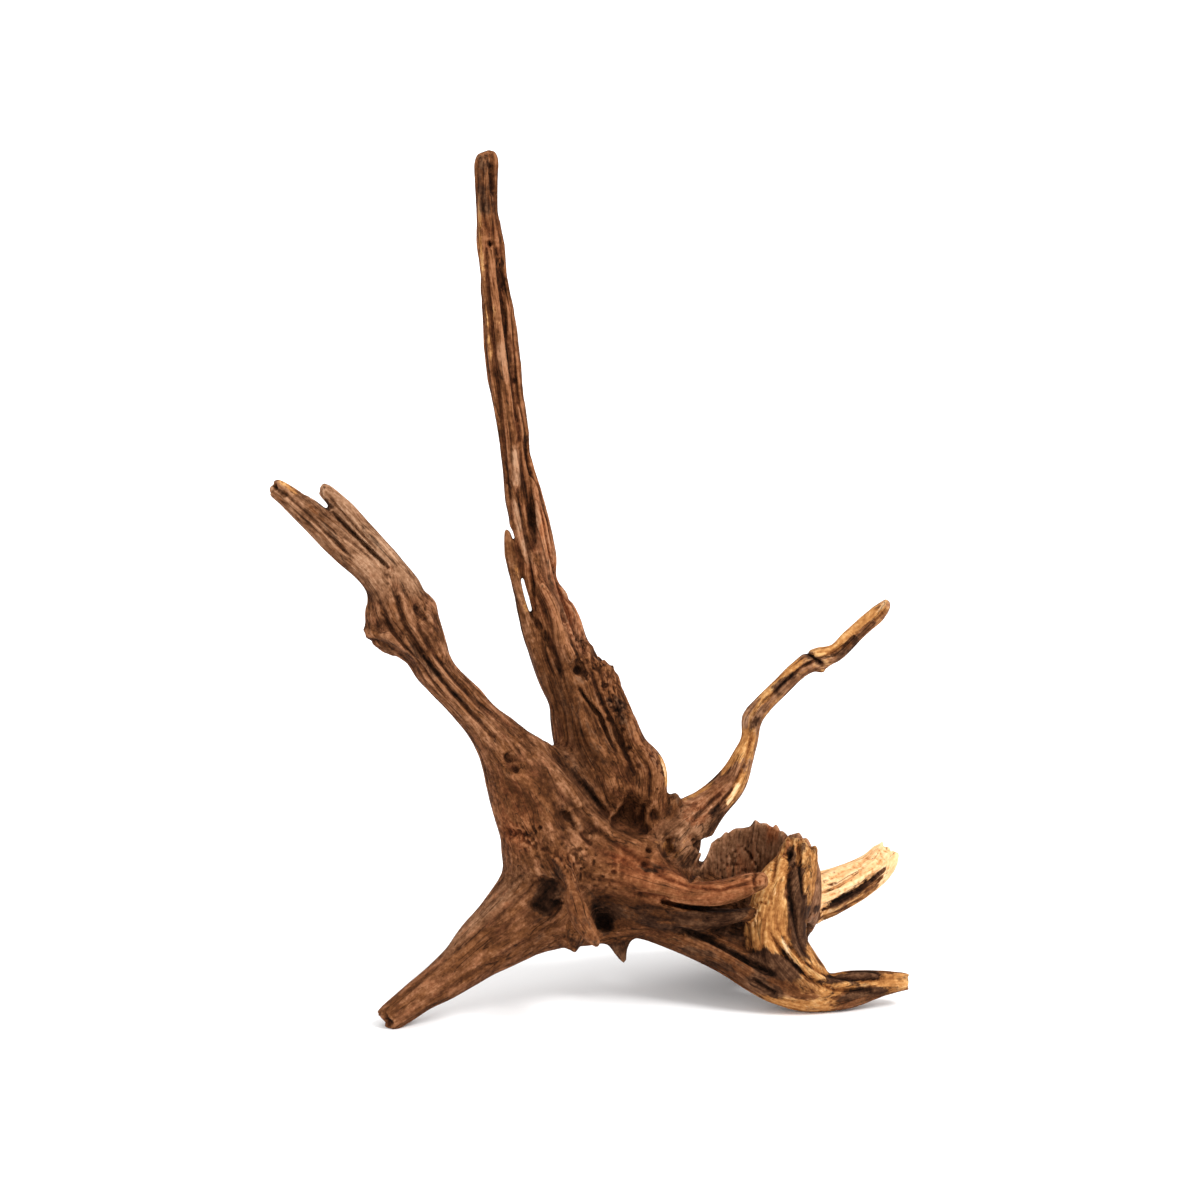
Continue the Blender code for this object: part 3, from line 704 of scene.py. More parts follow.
def stroke(picture, line, half_width, deep):
    """How near each point is to a drawn line: exp(-(gap / half width)^2), fading out towards the
    line's ends and with the distance behind or before the skin that the line falls on."""
    view, nearest, low = picture
    dots = along_line(line)
    cell = np.clip(((dots - low) / DEPTH_CELL).astype(int), 1, np.array(nearest.shape) - 2)
    around = [nearest[cell[:, 0] + i, cell[:, 1] + j] for i in (-1, 0, 1) for j in (-1, 0, 1)]
    depth = np.minimum.reduce(around)
    number = np.arange(len(dots))
    landed = np.isfinite(depth)
    if not landed.any():
        return np.zeros(0, int), np.zeros(0)
    depth = np.interp(number, number[landed], depth[landed])
    padded = np.pad(depth, DEPTH_BLUR // 2, mode="edge")
    depth = np.convolve(padded, np.full(DEPTH_BLUR, 1.0 / DEPTH_BLUR), mode="valid")
    reach = STROKE_REACH * half_width
    box = (view[:, :2] > dots.min(axis=0) - reach) & (view[:, :2] < dots.max(axis=0) + reach)
    near = np.flatnonzero(box.all(axis=1))
    here = view[near]
    square = ((here[:, None, :2] - dots) ** 2).sum(axis=2)
    best = square.argmin(axis=1)
    gap = np.sqrt(square[np.arange(len(near)), best])
    behind = (here[:, 2] - depth[best]) / deep
    run = (best + 0.5) / len(dots)
    taper = np.clip(0.3 + 5.0 * np.minimum(run, 1.0 - run), 0.0, 1.0)
    return near, taper * np.exp(-((gap / half_width) ** 2) - np.minimum(behind**2, 50.0))


def soft_normals(mesh):
    """The skin's directions, each averaged with its surroundings."""
    normals, edges = normals_of(mesh), read_edges(mesh)
    for _ in range(NORMAL_STEPS):
        normals = neighbour_mean(normals, edges)
    return normals / np.linalg.norm(normals, axis=1)[:, None]


def press_marks(mesh, marks, towards):
    """Moves the skin by height * stroke, one mark after another. The direction is the softened
    normal plus a share of the direction towards the viewer."""
    points = read_points(mesh)
    direction = soft_normals(mesh) - towards * FORWARD
    direction /= np.maximum(np.linalg.norm(direction, axis=1), 0.3)[:, None]
    picture = picture_of(points)
    push = np.zeros(len(points))
    for height, half_width, line in marks.values():
        deep = max(LEAST_DEPTH, 2.0 * half_width)
        near, value = stroke(picture, line, half_width, deep)
        push[near] += height * value
    store_points(mesh, points + direction * push[:, None])


press_marks(stump.data, BROAD_MARKS, 1.0)
soften(stump.data, FINE_SOFTEN_STEPS)
print("skin after the broad marks:", np.round(np.ptp(read_points(stump.data), axis=0), 1), "mm")

# %% [markdown]
# ## Straightened limbs
#
# Fibres run along each limb and bend with it. So each point of the skin also gets a place in
# the straightened limb: across, deep and along. A pattern that is drawn out in that space
# follows every bend. Near a crotch a point belongs to more than one limb, and soft weights
# share it out, the way fibres of two branches flow into each other.

# %% Places in the straightened limbs
REACH = 3.0
SHARE_SOFTNESS = 0.2


def straighten(points, limb):
    """Rows of x, y, s and share for the points near a limb, and which points they are.

    The nearest ring is corrected along its tangent, so that s runs on smoothly, and the offset
    from the centre line there gives x = offset . side and y = offset . front. The share is the
    offset counted in half sizes: 1 on the limb's own surface.
    """
    centre, half = limb["centre"], limb["half"]
    margin = REACH * half.max()
    inside = (points > centre.min(axis=0) - margin) & (points < centre.max(axis=0) + margin)
    near = np.flatnonzero(inside.all(axis=1))
    here = points[near]
    square = (here**2).sum(axis=1)[:, None] - 2.0 * here @ centre.T + (centre**2).sum(axis=1)
    first = square.argmin(axis=1)
    spacing = limb["along"][-1] / (len(centre) - 1)
    ahead = ((here - centre[first]) * limb["tangent"][first]).sum(axis=1)
    place = first + ahead / spacing
    base = np.clip(np.floor(place).astype(int), 0, len(centre) - 2)
    t = np.clip(place - base, 0.0, 1.0)[:, None]
    middle, side, front, size = (
        (1.0 - t) * limb[key][base] + t * limb[key][base + 1]
        for key in ("centre", "side", "front", "half")
    )
    offset = here - middle
    x = (offset * side).sum(axis=1)
    y = (offset * front).sum(axis=1)
    over = (place - np.clip(place, 0, len(centre) - 1)) * spacing
    share = np.sqrt((x / size[:, 0]) ** 2 + (y / size[:, 1]) ** 2 + (over / size.mean(axis=1)) ** 2)
    return near, np.stack([x, y, place * spacing, share], axis=1)


def straighten_all(points):
    """Places in every limb's space, and each limb's weight at each point.

    The weight is exp(-(share^2 - least share^2) / softness), divided by the sum over all limbs.
    """
    places = np.zeros((len(limbs), len(points), 3), np.float32)
    shares = np.full((len(limbs), len(points)), REACH, np.float32)
    for number, limb in enumerate(limbs.values()):
        near, rows = straighten(points, limb)
        places[number, near] = rows[:, limb["grain"]]
        shares[number, near] = np.minimum(rows[:, 3], REACH)
    weights = np.exp(-(shares**2 - shares.min(axis=0) ** 2) / SHARE_SOFTNESS)
    weights[shares >= REACH] = 0.0
    return places, weights / np.maximum(weights.sum(axis=0), 1e-9)


places, weights = straighten_all(read_points(stump.data))
print("points shared by two limbs:", int((weights.max(axis=0) < 0.8).sum()))

# %% [markdown]
# ## Fibres and cracks
#
# The skin of driftwood is bundles of fibres with furrows between them, and drying splits that
# open along the grain. Both come from noise that is squeezed across the limb and drawn out
# along it. Folding the noise at zero turns its zero lines into sharp ridges or thin cracks.
# Sculpting each fibre by hand would take days, and an image would not follow the limbs.

# %% Fibre relief
NOISE_VALUES = 4096
# Large primes scatter neighbouring places over the list of random values.
NOISE_STRIDES = np.array([7919, 104729, 1299709])
LEDGE_HEIGHT = 0.7
STRAND_HEIGHT = 0.5
FIBRE_HEIGHT = 0.26
CRACK_DEPTH = 1.6
# Width across the limb and length along it of each pattern in the relief, in millimetres.
RELIEF_SIZES = {
    "sway": (24.0, 45.0),
    "ledge": (9.0, 90.0),
    "strand": (4.4, 80.0),
    "fibre": (1.9, 26.0),
    "fibre_break": (3.0, 10.0),
    "worn": (12.0, 35.0),
    "crack": (7.5, 110.0),
    "crack_patch": (14.0, 50.0),
    "torn_fibre": (2.2, 40.0),
    "torn_bundle": (5.0, 40.0),
}
SWAY_BY = 3.0
STOUT = 11.0
CRACK_WIDTH = 0.16
# How strongly each limb is weathered. Limbs that aren't named have the plain roughness.
PLAIN_ROUGHNESS = 0.8
ROUGHNESS = {
    "spire": 1.0,
    "splinter": 0.7,
    "trunk_slab": 1.2,
    "left_root": 0.32,
    "body": 0.4,
    "under_web": 0.35,
    "rim_limb": 0.3,
    "lower_limb": 0.4,
    "thin_branch": 0.5,
    "cup_wall": 0.4,
    "right_post": 0.5,
    "claw": 0.35,
    "spike": 0.4,
    "branch_spur": 0.4,
    "front_root": 0.6,
    "pale_root": 1.0,
}
# Where water wore the fibres smooth: half width, share worn off, and line, as across and up.
WORN_SMOOTH = {
    "body": (26.0, 0.75, ((-44, 140), (-30, 120), (-8, 100), (22, 82), (40, 74))),
    "trunk": (13.0, 0.55, ((-18, 176), (-8, 152), (2, 128))),
    "foot": (16.0, 0.5, ((-46, 60), (-74, 36), (-100, 14))),
}


def noise(rows, seed):
    """Smooth noise between -1 and 1: a random value at each whole place, blended between them."""
    table = np.random.default_rng(seed).uniform(-1.0, 1.0, NOISE_VALUES)
    base = np.floor(rows).astype(np.int64)
    t = rows - base
    t = t * t * (3.0 - 2.0 * t)
    total = np.zeros(len(rows))
    for corner in np.ndindex(2, 2, 2):
        column = (base + corner) @ NOISE_STRIDES
        weight = np.prod(np.where(corner, t, 1.0 - t), axis=1)
        total += weight * table[column % NOISE_VALUES]
    return total


def drawn_out(rows, pattern, seed):
    """Noise at places divided by (width, width, length) of the pattern."""
    width, length = RELIEF_SIZES[pattern]
    return noise(rows / [width, width, length], seed)


def stepped(level):
    """Rounds a level down to its whole part, then climbs to the next one in the last third."""
    whole = np.floor(level)
    return whole + np.clip(3.0 * (level - whole) - 2.0, 0.0, 1.0)


def fibre_relief(rows, seed):
    """Flat faces that end in ledges, strands as ridges 1 - 2|noise|, fine fibres that are worn
    off in places, and cracks where another noise is near 0."""
    sway = np.stack([drawn_out(rows, "sway", seed + side) for side in (0, 1)], axis=1)
    bent = rows.copy()
    bent[:, :2] += SWAY_BY * sway
    ledges = stepped(2.4 * drawn_out(bent, "ledge", seed + 2)) + 0.5
    strands = 1.0 - 2.0 * np.abs(drawn_out(bent, "strand", seed + 3))
    fibres = drawn_out(bent, "fibre", seed + 4) + 0.5 * drawn_out(bent, "fibre_break", seed + 7)
    worn = np.clip(0.55 + 1.3 * drawn_out(rows, "worn", seed + 8), 0.1, 1.0)
    line = np.abs(drawn_out(bent, "crack", seed + 5))
    open_here = np.clip(2.6 * drawn_out(rows, "crack_patch", seed + 6) - 0.1, 0.0, 1.0)
    crack = np.clip(1.0 - line / CRACK_WIDTH, 0.0, 1.0) * open_here
    fine = worn * (STRAND_HEIGHT * (strands - 0.5) + FIBRE_HEIGHT * fibres)
    return LEDGE_HEIGHT * ledges + fine - CRACK_DEPTH * crack


def wear_of(points, weights):
    """How rough each point is: its limbs' shares, less what water wore off in some places."""
    wear = weights.T @ np.array([ROUGHNESS.get(name, PLAIN_ROUGHNESS) for name in limbs])
    picture = picture_of(points)
    for half_width, worn_off, line in WORN_SMOOTH.values():
        near, value = stroke(picture, line, half_width, 2.0 * half_width)
        wear[near] *= 1.0 - worn_off * value
    return wear


def weathering(places, weights):
    """The relief of each limb, scaled by how slim the limb is, blended."""
    total = np.zeros(places.shape[1])
    for number, limb in enumerate(limbs.values()):
        near = np.flatnonzero(weights[number] > 0.01)
        slim = np.clip(limb["half"].mean() / STOUT, 0.45, 1.0)
        relief = fibre_relief(places[number, near].astype(float), 10 * number)
        total[near] += weights[number, near] * slim * relief
    return total


points = read_points(stump.data)
relief = weathering(places, weights) * wear_of(points, weights)
points += normals_of(stump.data) * relief[:, None]
store_points(stump.data, points)
print("relief from", round(relief.min(), 2), "to", round(relief.max(), 2), "mm")

# %% [markdown]
# ## Broken ends and the ragged rim
#
# Each free end is a break: some fibres tore off early and left small pits, others stand out.
# The wall of the hollow ends in the same way along its whole rim. Both are the same formula:
# points near the end are pushed back along the limb by a noise of narrow, deep cells.

# %% Break the ends
END_REACH = 7.0
# Points belong to a limb's end, or to the wall, within so many half sizes of its centre line.
END_SHARE = 1.6
WALL_SHARE = 1.7
# How far each end is broken back, in millimetres.
BROKEN = {
    "spire": 1.0,
    "splinter": 1.5,
    "left_lower_prong": 3.5,
    "left_upper_prong": 2.5,
    "left_root": 3.0,
    "front_root": 2.5,
    "pale_root": 4.0,
    "thin_branch": 1.5,
    "rear_root": 3.0,
    "right_post": 4.0,
    "trunk_slab": 3.0,
    "rim_limb": 0.8,
    "branch_knob": 1.0,
}
RIM_DEPTH = 2.4
# Sizes of the rim's teeth and gaps: along the wall, through it and up, in millimetres.
TOOTH_SIZE = (2.6, 3.0, 9.0)
GAP_SIZE = (7.0, 9.0, 9.0)


def break_end(points, name, depth, seed):
    """Pushes the end face back along the limb by depth * noise of two cell sizes * fade."""
    limb = limbs[name]
    near, rows = straighten(points, limb)
    here, share = rows[:, :3], rows[:, 3]
    fade = np.clip(1.0 - here[:, 2] / END_REACH, 0.0, 1.0) ** 2 * (share < END_SHARE)
    cells = 0.6 * drawn_out(here, "torn_fibre", seed) + drawn_out(here, "torn_bundle", seed + 1)
    push = depth * fade * np.clip(0.35 + cells, 0.0, 1.2)
    moved = points.copy()
    moved[near] += push[:, None] * limb["tangent"][0]
    return moved


points = read_points(stump.data)
for number, (name, depth) in enumerate(BROKEN.items()):
    points = break_end(points, name, depth, 500 + 2 * number)

wall = limbs["cup_wall"]
near, rows = straighten(points, wall)
x, y, s, share = rows.T
height = np.interp(s, wall["along"], wall["half"][:, 0])
upper = np.clip((x / height - 0.55) / 0.45, 0.0, 1.0) * (share < WALL_SHARE)
inside_wall = np.stack([s, y, x], axis=1)
teeth = noise(inside_wall / TOOTH_SIZE, 700)
gaps = noise(inside_wall / GAP_SIZE, 701)
drop = upper * RIM_DEPTH * np.clip(0.1 + 0.7 * teeth + 0.9 * gaps, -0.8, 1.3)
points[near, 2] -= drop
store_points(stump.data, points)
soften(stump.data, 1, 0.35)
print("rim worn by up to", round(drop.max(), 1), "mm")

# %% [markdown]
# ## Cracks, furrows and holes
#
# Finer marks go on last, over the fibres: drying cracks, furrows along the limbs, worm holes,
# and porous places where the softer wood rotted away. They use the same strokes as the broad
# marks, only narrower, and they are pressed straight into the skin.

# %% Lines of the fine marks
# Height, half width and the line or dot, as across and up.
FINE_MARKS = {
    "knot_hole": (-4.5, 1.5, ((-55, 393),)),
    "trunk_crease": (-3.0, 1.5, ((-23, 139), (-15, 130), (-7, 121), (1, 111), (8, 104))),
    "knee_crease": (-2.2, 1.2, ((-117, 195), (-110, 193.5), (-103, 190.5), (-97, 186), (-91, 179))),
    "spire_top_split": (-2.2, 1.2, ((-55, 433), (-54, 424), (-53.5, 418))),
    "spire_right_furrow": (-2.6, 1.2, ((-51.5, 390), (-47, 352), (-42, 315), (-40, 295))),
    "spire_left_furrow": (-1.6, 1.1, ((-57, 382), (-53, 340), (-49, 300), (-46, 272), (-44, 256))),
    "spire_left_ridge": (1.2, 1.3, ((-59, 400), (-56.5, 350), (-52, 310), (-48, 280))),
    "shard_gap": (-2.6, 1.2, ((-41, 270), (-38, 252), (-36, 240), (-34, 222), (-33, 210))),
    "deep_groove": (-4.0, 1.7, ((-36, 296), (-35, 280), (-34.5, 262), (-34, 250))),
    "red_face_split_1": (-1.8, 1.0, ((-30, 268), (-26, 245), (-20, 220), (-14, 203))),
    "red_face_split_2": (-1.6, 1.0, ((-25, 240), (-20, 222), (-13, 200), (-7, 188))),
    "face_crack_1": (-2.6, 1.2, ((-18.5, 210), (-17, 203))),
    "face_crack_2": (-2.4, 1.2, ((-8.5, 196), (-6.5, 188))),
    "face_hole": (-4.0, 1.7, ((-11, 180),)),
    "slant_crack": (-3.4, 0.95, ((-10, 170), (-5, 163), (0, 157), (4, 148), (8, 140))),
    "slab_pit_1": (-1.6, 1.4, ((2, 172),)),
    "slab_pit_2": (-1.6, 1.3, ((6, 165),)),
    "slab_pit_3": (-1.8, 1.4, ((4, 155),)),
    "slab_pit_4": (-1.5, 1.2, ((11, 150),)),
    "slab_pit_5": (-1.7, 1.5, ((9, 160),)),
    "slab_pit_6": (-1.5, 1.2, ((14, 141),)),
    "slab_pit_7": (-1.4, 1.2, ((19, 132),)),
    "slab_furrow": (-1.8, 1.3, ((-4, 178), (2, 162), (10, 145), (17, 128))),
    "fork_line": (-3.2, 0.8, ((-133.5, 258.8), (-125, 250), (-115, 240), (-106, 231.5))),
    "tip_hollow": (-3.0, 1.8, ((-164, 273), (-158, 268))),
    "branch_fold_line": (-2.6, 1.1, ((101.5, 190), (106, 187.5), (111, 183))),
    "branch_hollow": (-1.8, 2.2, ((115, 187), (121, 191), (128, 198))),
    "branch_end_hollow": (-1.4, 1.4, ((137, 204), (142, 209))),
    "strip_top": (1.4, 2.2, ((-42.5, 291), (-42, 281), (-41.5, 271))),
    "strip_low": (1.2, 1.6, ((-43, 265), (-40.5, 250), (-37, 235))),
    "tip_split": (-1.2, 1.0, ((-158, 269), (-146, 258), (-134, 246), (-124, 236))),
    "second_tip_split": (-1.0, 1.0, ((-137, 269), (-130, 260), (-121, 250), (-112, 240))),
    "prong_groove": (-1.0, 1.1, ((-132, 250), (-122, 243), (-112, 234))),
    "neck_furrow_1": (
        -1.8,
        1.5,
        ((-103, 222), (-99, 205), (-90, 190), (-79, 175), (-66, 160), (-54, 147)),
    ),
    "neck_furrow_2": (
        -1.4,
        1.4,
        ((-93, 214), (-90, 200), (-82, 186), (-72, 174), (-60, 163), (-46, 152)),
    ),
    "neck_furrow_3": (-1.5, 1.3, ((-110, 214), (-106, 203), (-98, 192), (-88, 180), (-77, 166))),
    "neck_ridge_1": (
        1.8,
        1.6,
        ((-99, 218), (-95, 203), (-86, 189), (-75, 175), (-62, 160), (-50, 148)),
    ),
    "neck_ridge_2": (1.5, 1.5, ((-86, 212), (-84, 200), (-77, 188), (-66, 175), (-55, 166))),
    "knee_eye": (-2.6, 2.0, ((-92, 212), (-88, 206))),
    "scar_pit_1": (-3.0, 1.9, ((-46, 136),)),
    "scar_pit_2": (-3.2, 1.9, ((-42.5, 130.5),)),
    "scar_edge": (1.5, 1.6, ((-49, 133), (-46, 128), (-41, 126))),
    "body_pit_1": (-3.0, 2.2, ((-17, 108), (-12, 102))),
    "body_pit_2": (-2.4, 1.6, ((-8, 98), (-5, 94))),
    "body_ripple_1": (-0.8, 1.8, ((-30, 120), (-15, 104), (0, 90), (14, 84))),
    "body_ripple_2": (-0.9, 1.7, ((-20, 118), (-6, 103), (8, 93), (24, 82), (40, 74))),
    "body_ripple_3": (0.9, 2.2, ((-22, 126), (-8, 110), (6, 98), (20, 89), (34, 80))),
    "body_ripple_4": (-0.7, 1.6, ((-38, 95), (-22, 88), (-4, 76), (16, 72))),
    "pin_hole_1": (-4.0, 1.2, ((24.5, 90),)),
    "pin_hole_2": (-1.6, 1.0, ((7, 79),)),
    "pin_hole_3": (-1.8, 1.2, ((22, 83),)),
    "pin_hole_4": (-2.0, 0.9, ((-30, 101),)),
    "eye_dark": (-3.5, 2.6, ((22.5, 101),)),
    "eye_right": (-3.0, 2.4, ((27.5, 107.5),)),
    "crotch_dark": (-4.0, 3.0, ((-20, 70), (-22, 63))),
    "foot_furrow_1": (-0.4, 1.4, ((-26, 78), (-50, 58), (-75, 38), (-97, 18))),
    "foot_furrow_2": (-0.6, 1.2, ((-34, 82), (-56, 63), (-80, 42), (-100, 22))),
    "foot_furrow_3": (-0.5, 1.3, ((-18, 56), (-42, 42), (-66, 27), (-90, 12))),
    "foot_ridge": (0.9, 2.2, ((-30, 70), (-52, 52), (-76, 33), (-98, 14))),
    "recess_dark": (-4.0, 3.2, ((-1, 60), (3, 52))),
    "limb_parting_end": (-2.4, 1.5, ((18, 67.5), (26, 66.5), (34, 65))),
    "rim_limb_furrow": (-1.2, 1.2, ((28, 78), (45, 72), (60, 70), (76, 74))),
    "knob_ring": (-1.4, 1.1, ((78, 70), (77, 76), (79, 82))),
    "post_step": (-2.4, 1.6, ((94, 80), (95, 66), (99, 50), (103, 38))),
    "post_hole": (-4.5, 2.2, ((95, 87.5),)),
    "post_split_1": (-2.2, 1.2, ((88, 94), (87, 80), (85, 66))),
    "post_split_2": (-2.0, 1.1, ((99, 94), (100, 80), (102, 66))),
    "post_sweep_1": (-2.0, 1.4, ((84, 50), (92, 38), (104, 26), (118, 20), (135, 20))),
    "post_sweep_2": (-1.8, 1.3, ((92, 46), (101, 34), (114, 27), (130, 25), (146, 26))),
    "post_sweep_3": (1.4, 1.6, ((88, 48), (96, 37), (109, 27), (124, 23))),
    "root_parting": (
        -4.0,
        1.7,
        ((38, 50), (47, 47.3), (55, 45.8), (62, 42), (70, 37), (76, 33.5), (86, 28)),
    ),
    "root_dark_line": (-2.0, 1.2, ((77, 25), (83, 21), (88, 18))),
    "branch_furrow_1": (-1.6, 1.2, ((56, 108), (66, 120), (73, 134), (76, 148))),
    "branch_furrow_2": (-1.2, 1.0, ((82, 164), (92, 174), (101, 182), (112, 187), (124, 194))),
    "branch_fold": (-1.8, 1.5, ((46, 104), (54, 113), (61, 119))),
    "branch_base_pit": (-2.4, 2.0, ((47, 96), (50, 90))),
    "pale_root_furrow": (-1.4, 1.3, ((108, 73), (122, 79), (135, 87))),
    "pale_root_step": (-2.0, 1.6, ((106, 60), (118, 64), (130, 71), (140, 79))),
}
# Porous places, where the softer wood rotted out in small pits: half width and line.
PITTED = {
    "body_side": (7.0, ((-47, 101), (-36, 98), (-24, 92))),
    "body_foot": (9.0, ((-16, 90), (-4, 82), (6, 74))),
    "claw_top": (5.0, ((-18, 84), (-12, 76))),
    "slab_face": (7.0, ((-14, 205), (-6, 185), (6, 170), (14, 150))),
    "slab_edge": (4.0, ((24, 142), (31, 128), (33, 118))),
    "cup_inside": (11.0, ((58, 84), (72, 86), (86, 86))),
    "post_top": (7.0, ((92, 92), (104, 88))),
    "post_face": (6.0, ((83, 78), (80, 56))),
    "pale_face": (8.0, ((112, 70), (128, 78), (140, 87))),
    "branch_base": (6.0, ((50, 92), (47, 84))),
    "pale_end": (5.0, ((140, 86), (145, 90))),
}
print(len(FINE_MARKS), "fine marks,", len(PITTED), "porous places")

# %% Press the fine marks
PIT_DEPTH = 0.75
PITTED_DEPTH = 14.0
PIT_SIZE = 1.6
PIT_GROUP_SIZE = 3.7


def press_pits(mesh, pitted):
    """Moves porous places down by depth * stroke * the part of a fine noise above a limit."""
    points = read_points(mesh)
    picture = picture_of(points)
    push = np.zeros(len(points))
    cells = noise(points / PIT_SIZE, 800) + 0.6 * noise(points / PIT_GROUP_SIZE, 801)
    pits = np.clip(1.6 * cells - 0.25, 0.0, 1.0)
    for half_width, line in pitted.values():
        near, value = stroke(picture, line, half_width, PITTED_DEPTH)
        push[near] -= PIT_DEPTH * value * pits[near]
    store_points(mesh, points + soft_normals(mesh) * push[:, None])


press_marks(stump.data, FINE_MARKS, 0.2)
press_pits(stump.data, PITTED)
print("skin after the fine marks:", np.round(np.ptp(read_points(stump.data), axis=0), 1), "mm")

# %% [markdown]
# ## Fewer faces where the wood is smooth
#
# Faces are only worth their cost where the skin bends. The Decimate modifier joins the flattest
# neighbours first, so ridges keep their faces. Then three roots are cut flat where the stump
# has stood, and the skin is moved from the sight lines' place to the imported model's.

# %% Thin out, cut the feet and place
TRIANGLES = 196000
FLOOR_CUT = 0.9


def wear_feet(mesh):
    """Cuts everything under the floor plane away and closes the cuts with flat faces."""
    cleaner = bmesh.new()
    cleaner.from_mesh(mesh)
    everything = cleaner.verts[:] + cleaner.edges[:] + cleaner.faces[:]
    floor = {"plane_co": (0.0, 0.0, FLOOR_CUT * MM), "plane_no": (0.0, 0.0, -1.0)}
    bmesh.ops.bisect_plane(cleaner, geom=everything, dist=1e-6, clear_outer=True, **floor)
    rims = [edge for edge in cleaner.edges if edge.is_boundary]
    bmesh.ops.holes_fill(cleaner, edges=rims, sides=0)
    bmesh.ops.triangulate(cleaner, faces=cleaner.faces[:])
    bmesh.ops.recalc_face_normals(cleaner, faces=cleaner.faces[:])
    cleaner.to_mesh(mesh)
    cleaner.free()


apply_modifier(stump, "TRIANGULATE")
apply_modifier(stump, "DECIMATE", ratio=min(1.0, TRIANGLES / len(stump.data.polygons)))
wear_feet(stump.data)
points = read_points(stump.data)
TO_FRAME = (node_low + node_high) / 2.0 - (coarse.min(axis=0) + coarse.max(axis=0)) / 2.0
TO_FRAME[2] = node_low[2] - FLOOR_CUT
print("moved by, mm:", np.round(TO_FRAME, 2), "triangles:", len(stump.data.polygons))

# %% [markdown]
# ## Where the colour changes
#
# Bare wood under the bark is cream or golden, weathered wood is brown to grey tan, and scraps
# of inner bark are nearly black. That near-black is also painted as shade into a few hollows and
# crevices. On this stump the left side is old brown wood, and the right side was freshly
# scraped. Each limb gets an even share of every colour, which holds all round it, and stains
# drawn as the viewer sees them change it from place to place. Painting an image would need an
# unwrapped map with seams. A number stored at each point needs neither.

# %% Colour shares and stains
COLOURS = ("golden", "cream", "bark_and_shade", "red", "tan")
# The share of each colour on a limb, in the same order. Limbs that aren't named have the plain
# tint.
PLAIN_TINT = (0.0, 0.0, 0.05, 0.2, 0.1)
TINTS = {
    "spire": (0.0, 0.0, 0.14, 0.32, 0.14),
    "splinter": (0.05, 0.0, 0.08, 0.1, 0.2),
    "trunk_slab": (0.0, 0.0, 0.2, 0.2, 0.1),
    "left_lower_prong": (0.0, 0.0, 0.0, 0.05, 0.45),
    "left_upper_prong": (0.0, 0.0, 0.0, 0.0, 0.95),
    "prong_nub": (0.0, 0.0, 0.0, 0.1, 0.5),
    "left_neck": (0.0, 0.0, 0.06, 0.24, 0.32),
    "left_root": (0.0, 0.0, 0.04, 0.25, 0.25),
    "claw": (0.0, 0.0, 0.4, 0.35, 0.0),
    "spike": (0.0, 0.0, 0.55, 0.1, 0.0),
    "foot_nub": (0.0, 0.0, 0.5, 0.1, 0.0),
    "rim_limb": (0.0, 0.0, 0.1, 0.45, 0.1),
    "lower_limb": (0.0, 0.0, 0.65, 0.1, 0.0),
    "front_root": (0.25, 0.0, 0.3, 0.25, 0.12),
    "right_post": (0.5, 0.0, 0.4, 0.3, 0.0),
    "pale_root": (0.5, 0.75, 0.1, 0.0, 0.0),
    "thin_branch": (0.35, 0.0, 0.2, 0.3, 0.5),
    "branch_spur": (0.6, 0.0, 0.0, 0.2, 0.4),
    "branch_knob": (0.0, 0.0, 0.5, 0.1, 0.0),
    "cup_wall": (0.0, 0.0, 0.05, 0.25, 0.6),
    "cup_floor": (0.0, 0.0, 0.7, 0.0, 0.0),
    "limb_web": (0.0, 0.0, 0.7, 0.0, 0.0),
    "rear_root": (0.1, 0.0, 0.25, 0.2, 0.2),
}
STAIN_DEPTH = 9.0
FURROW_STEPS = 4
HOLLOW_STEPS = 40
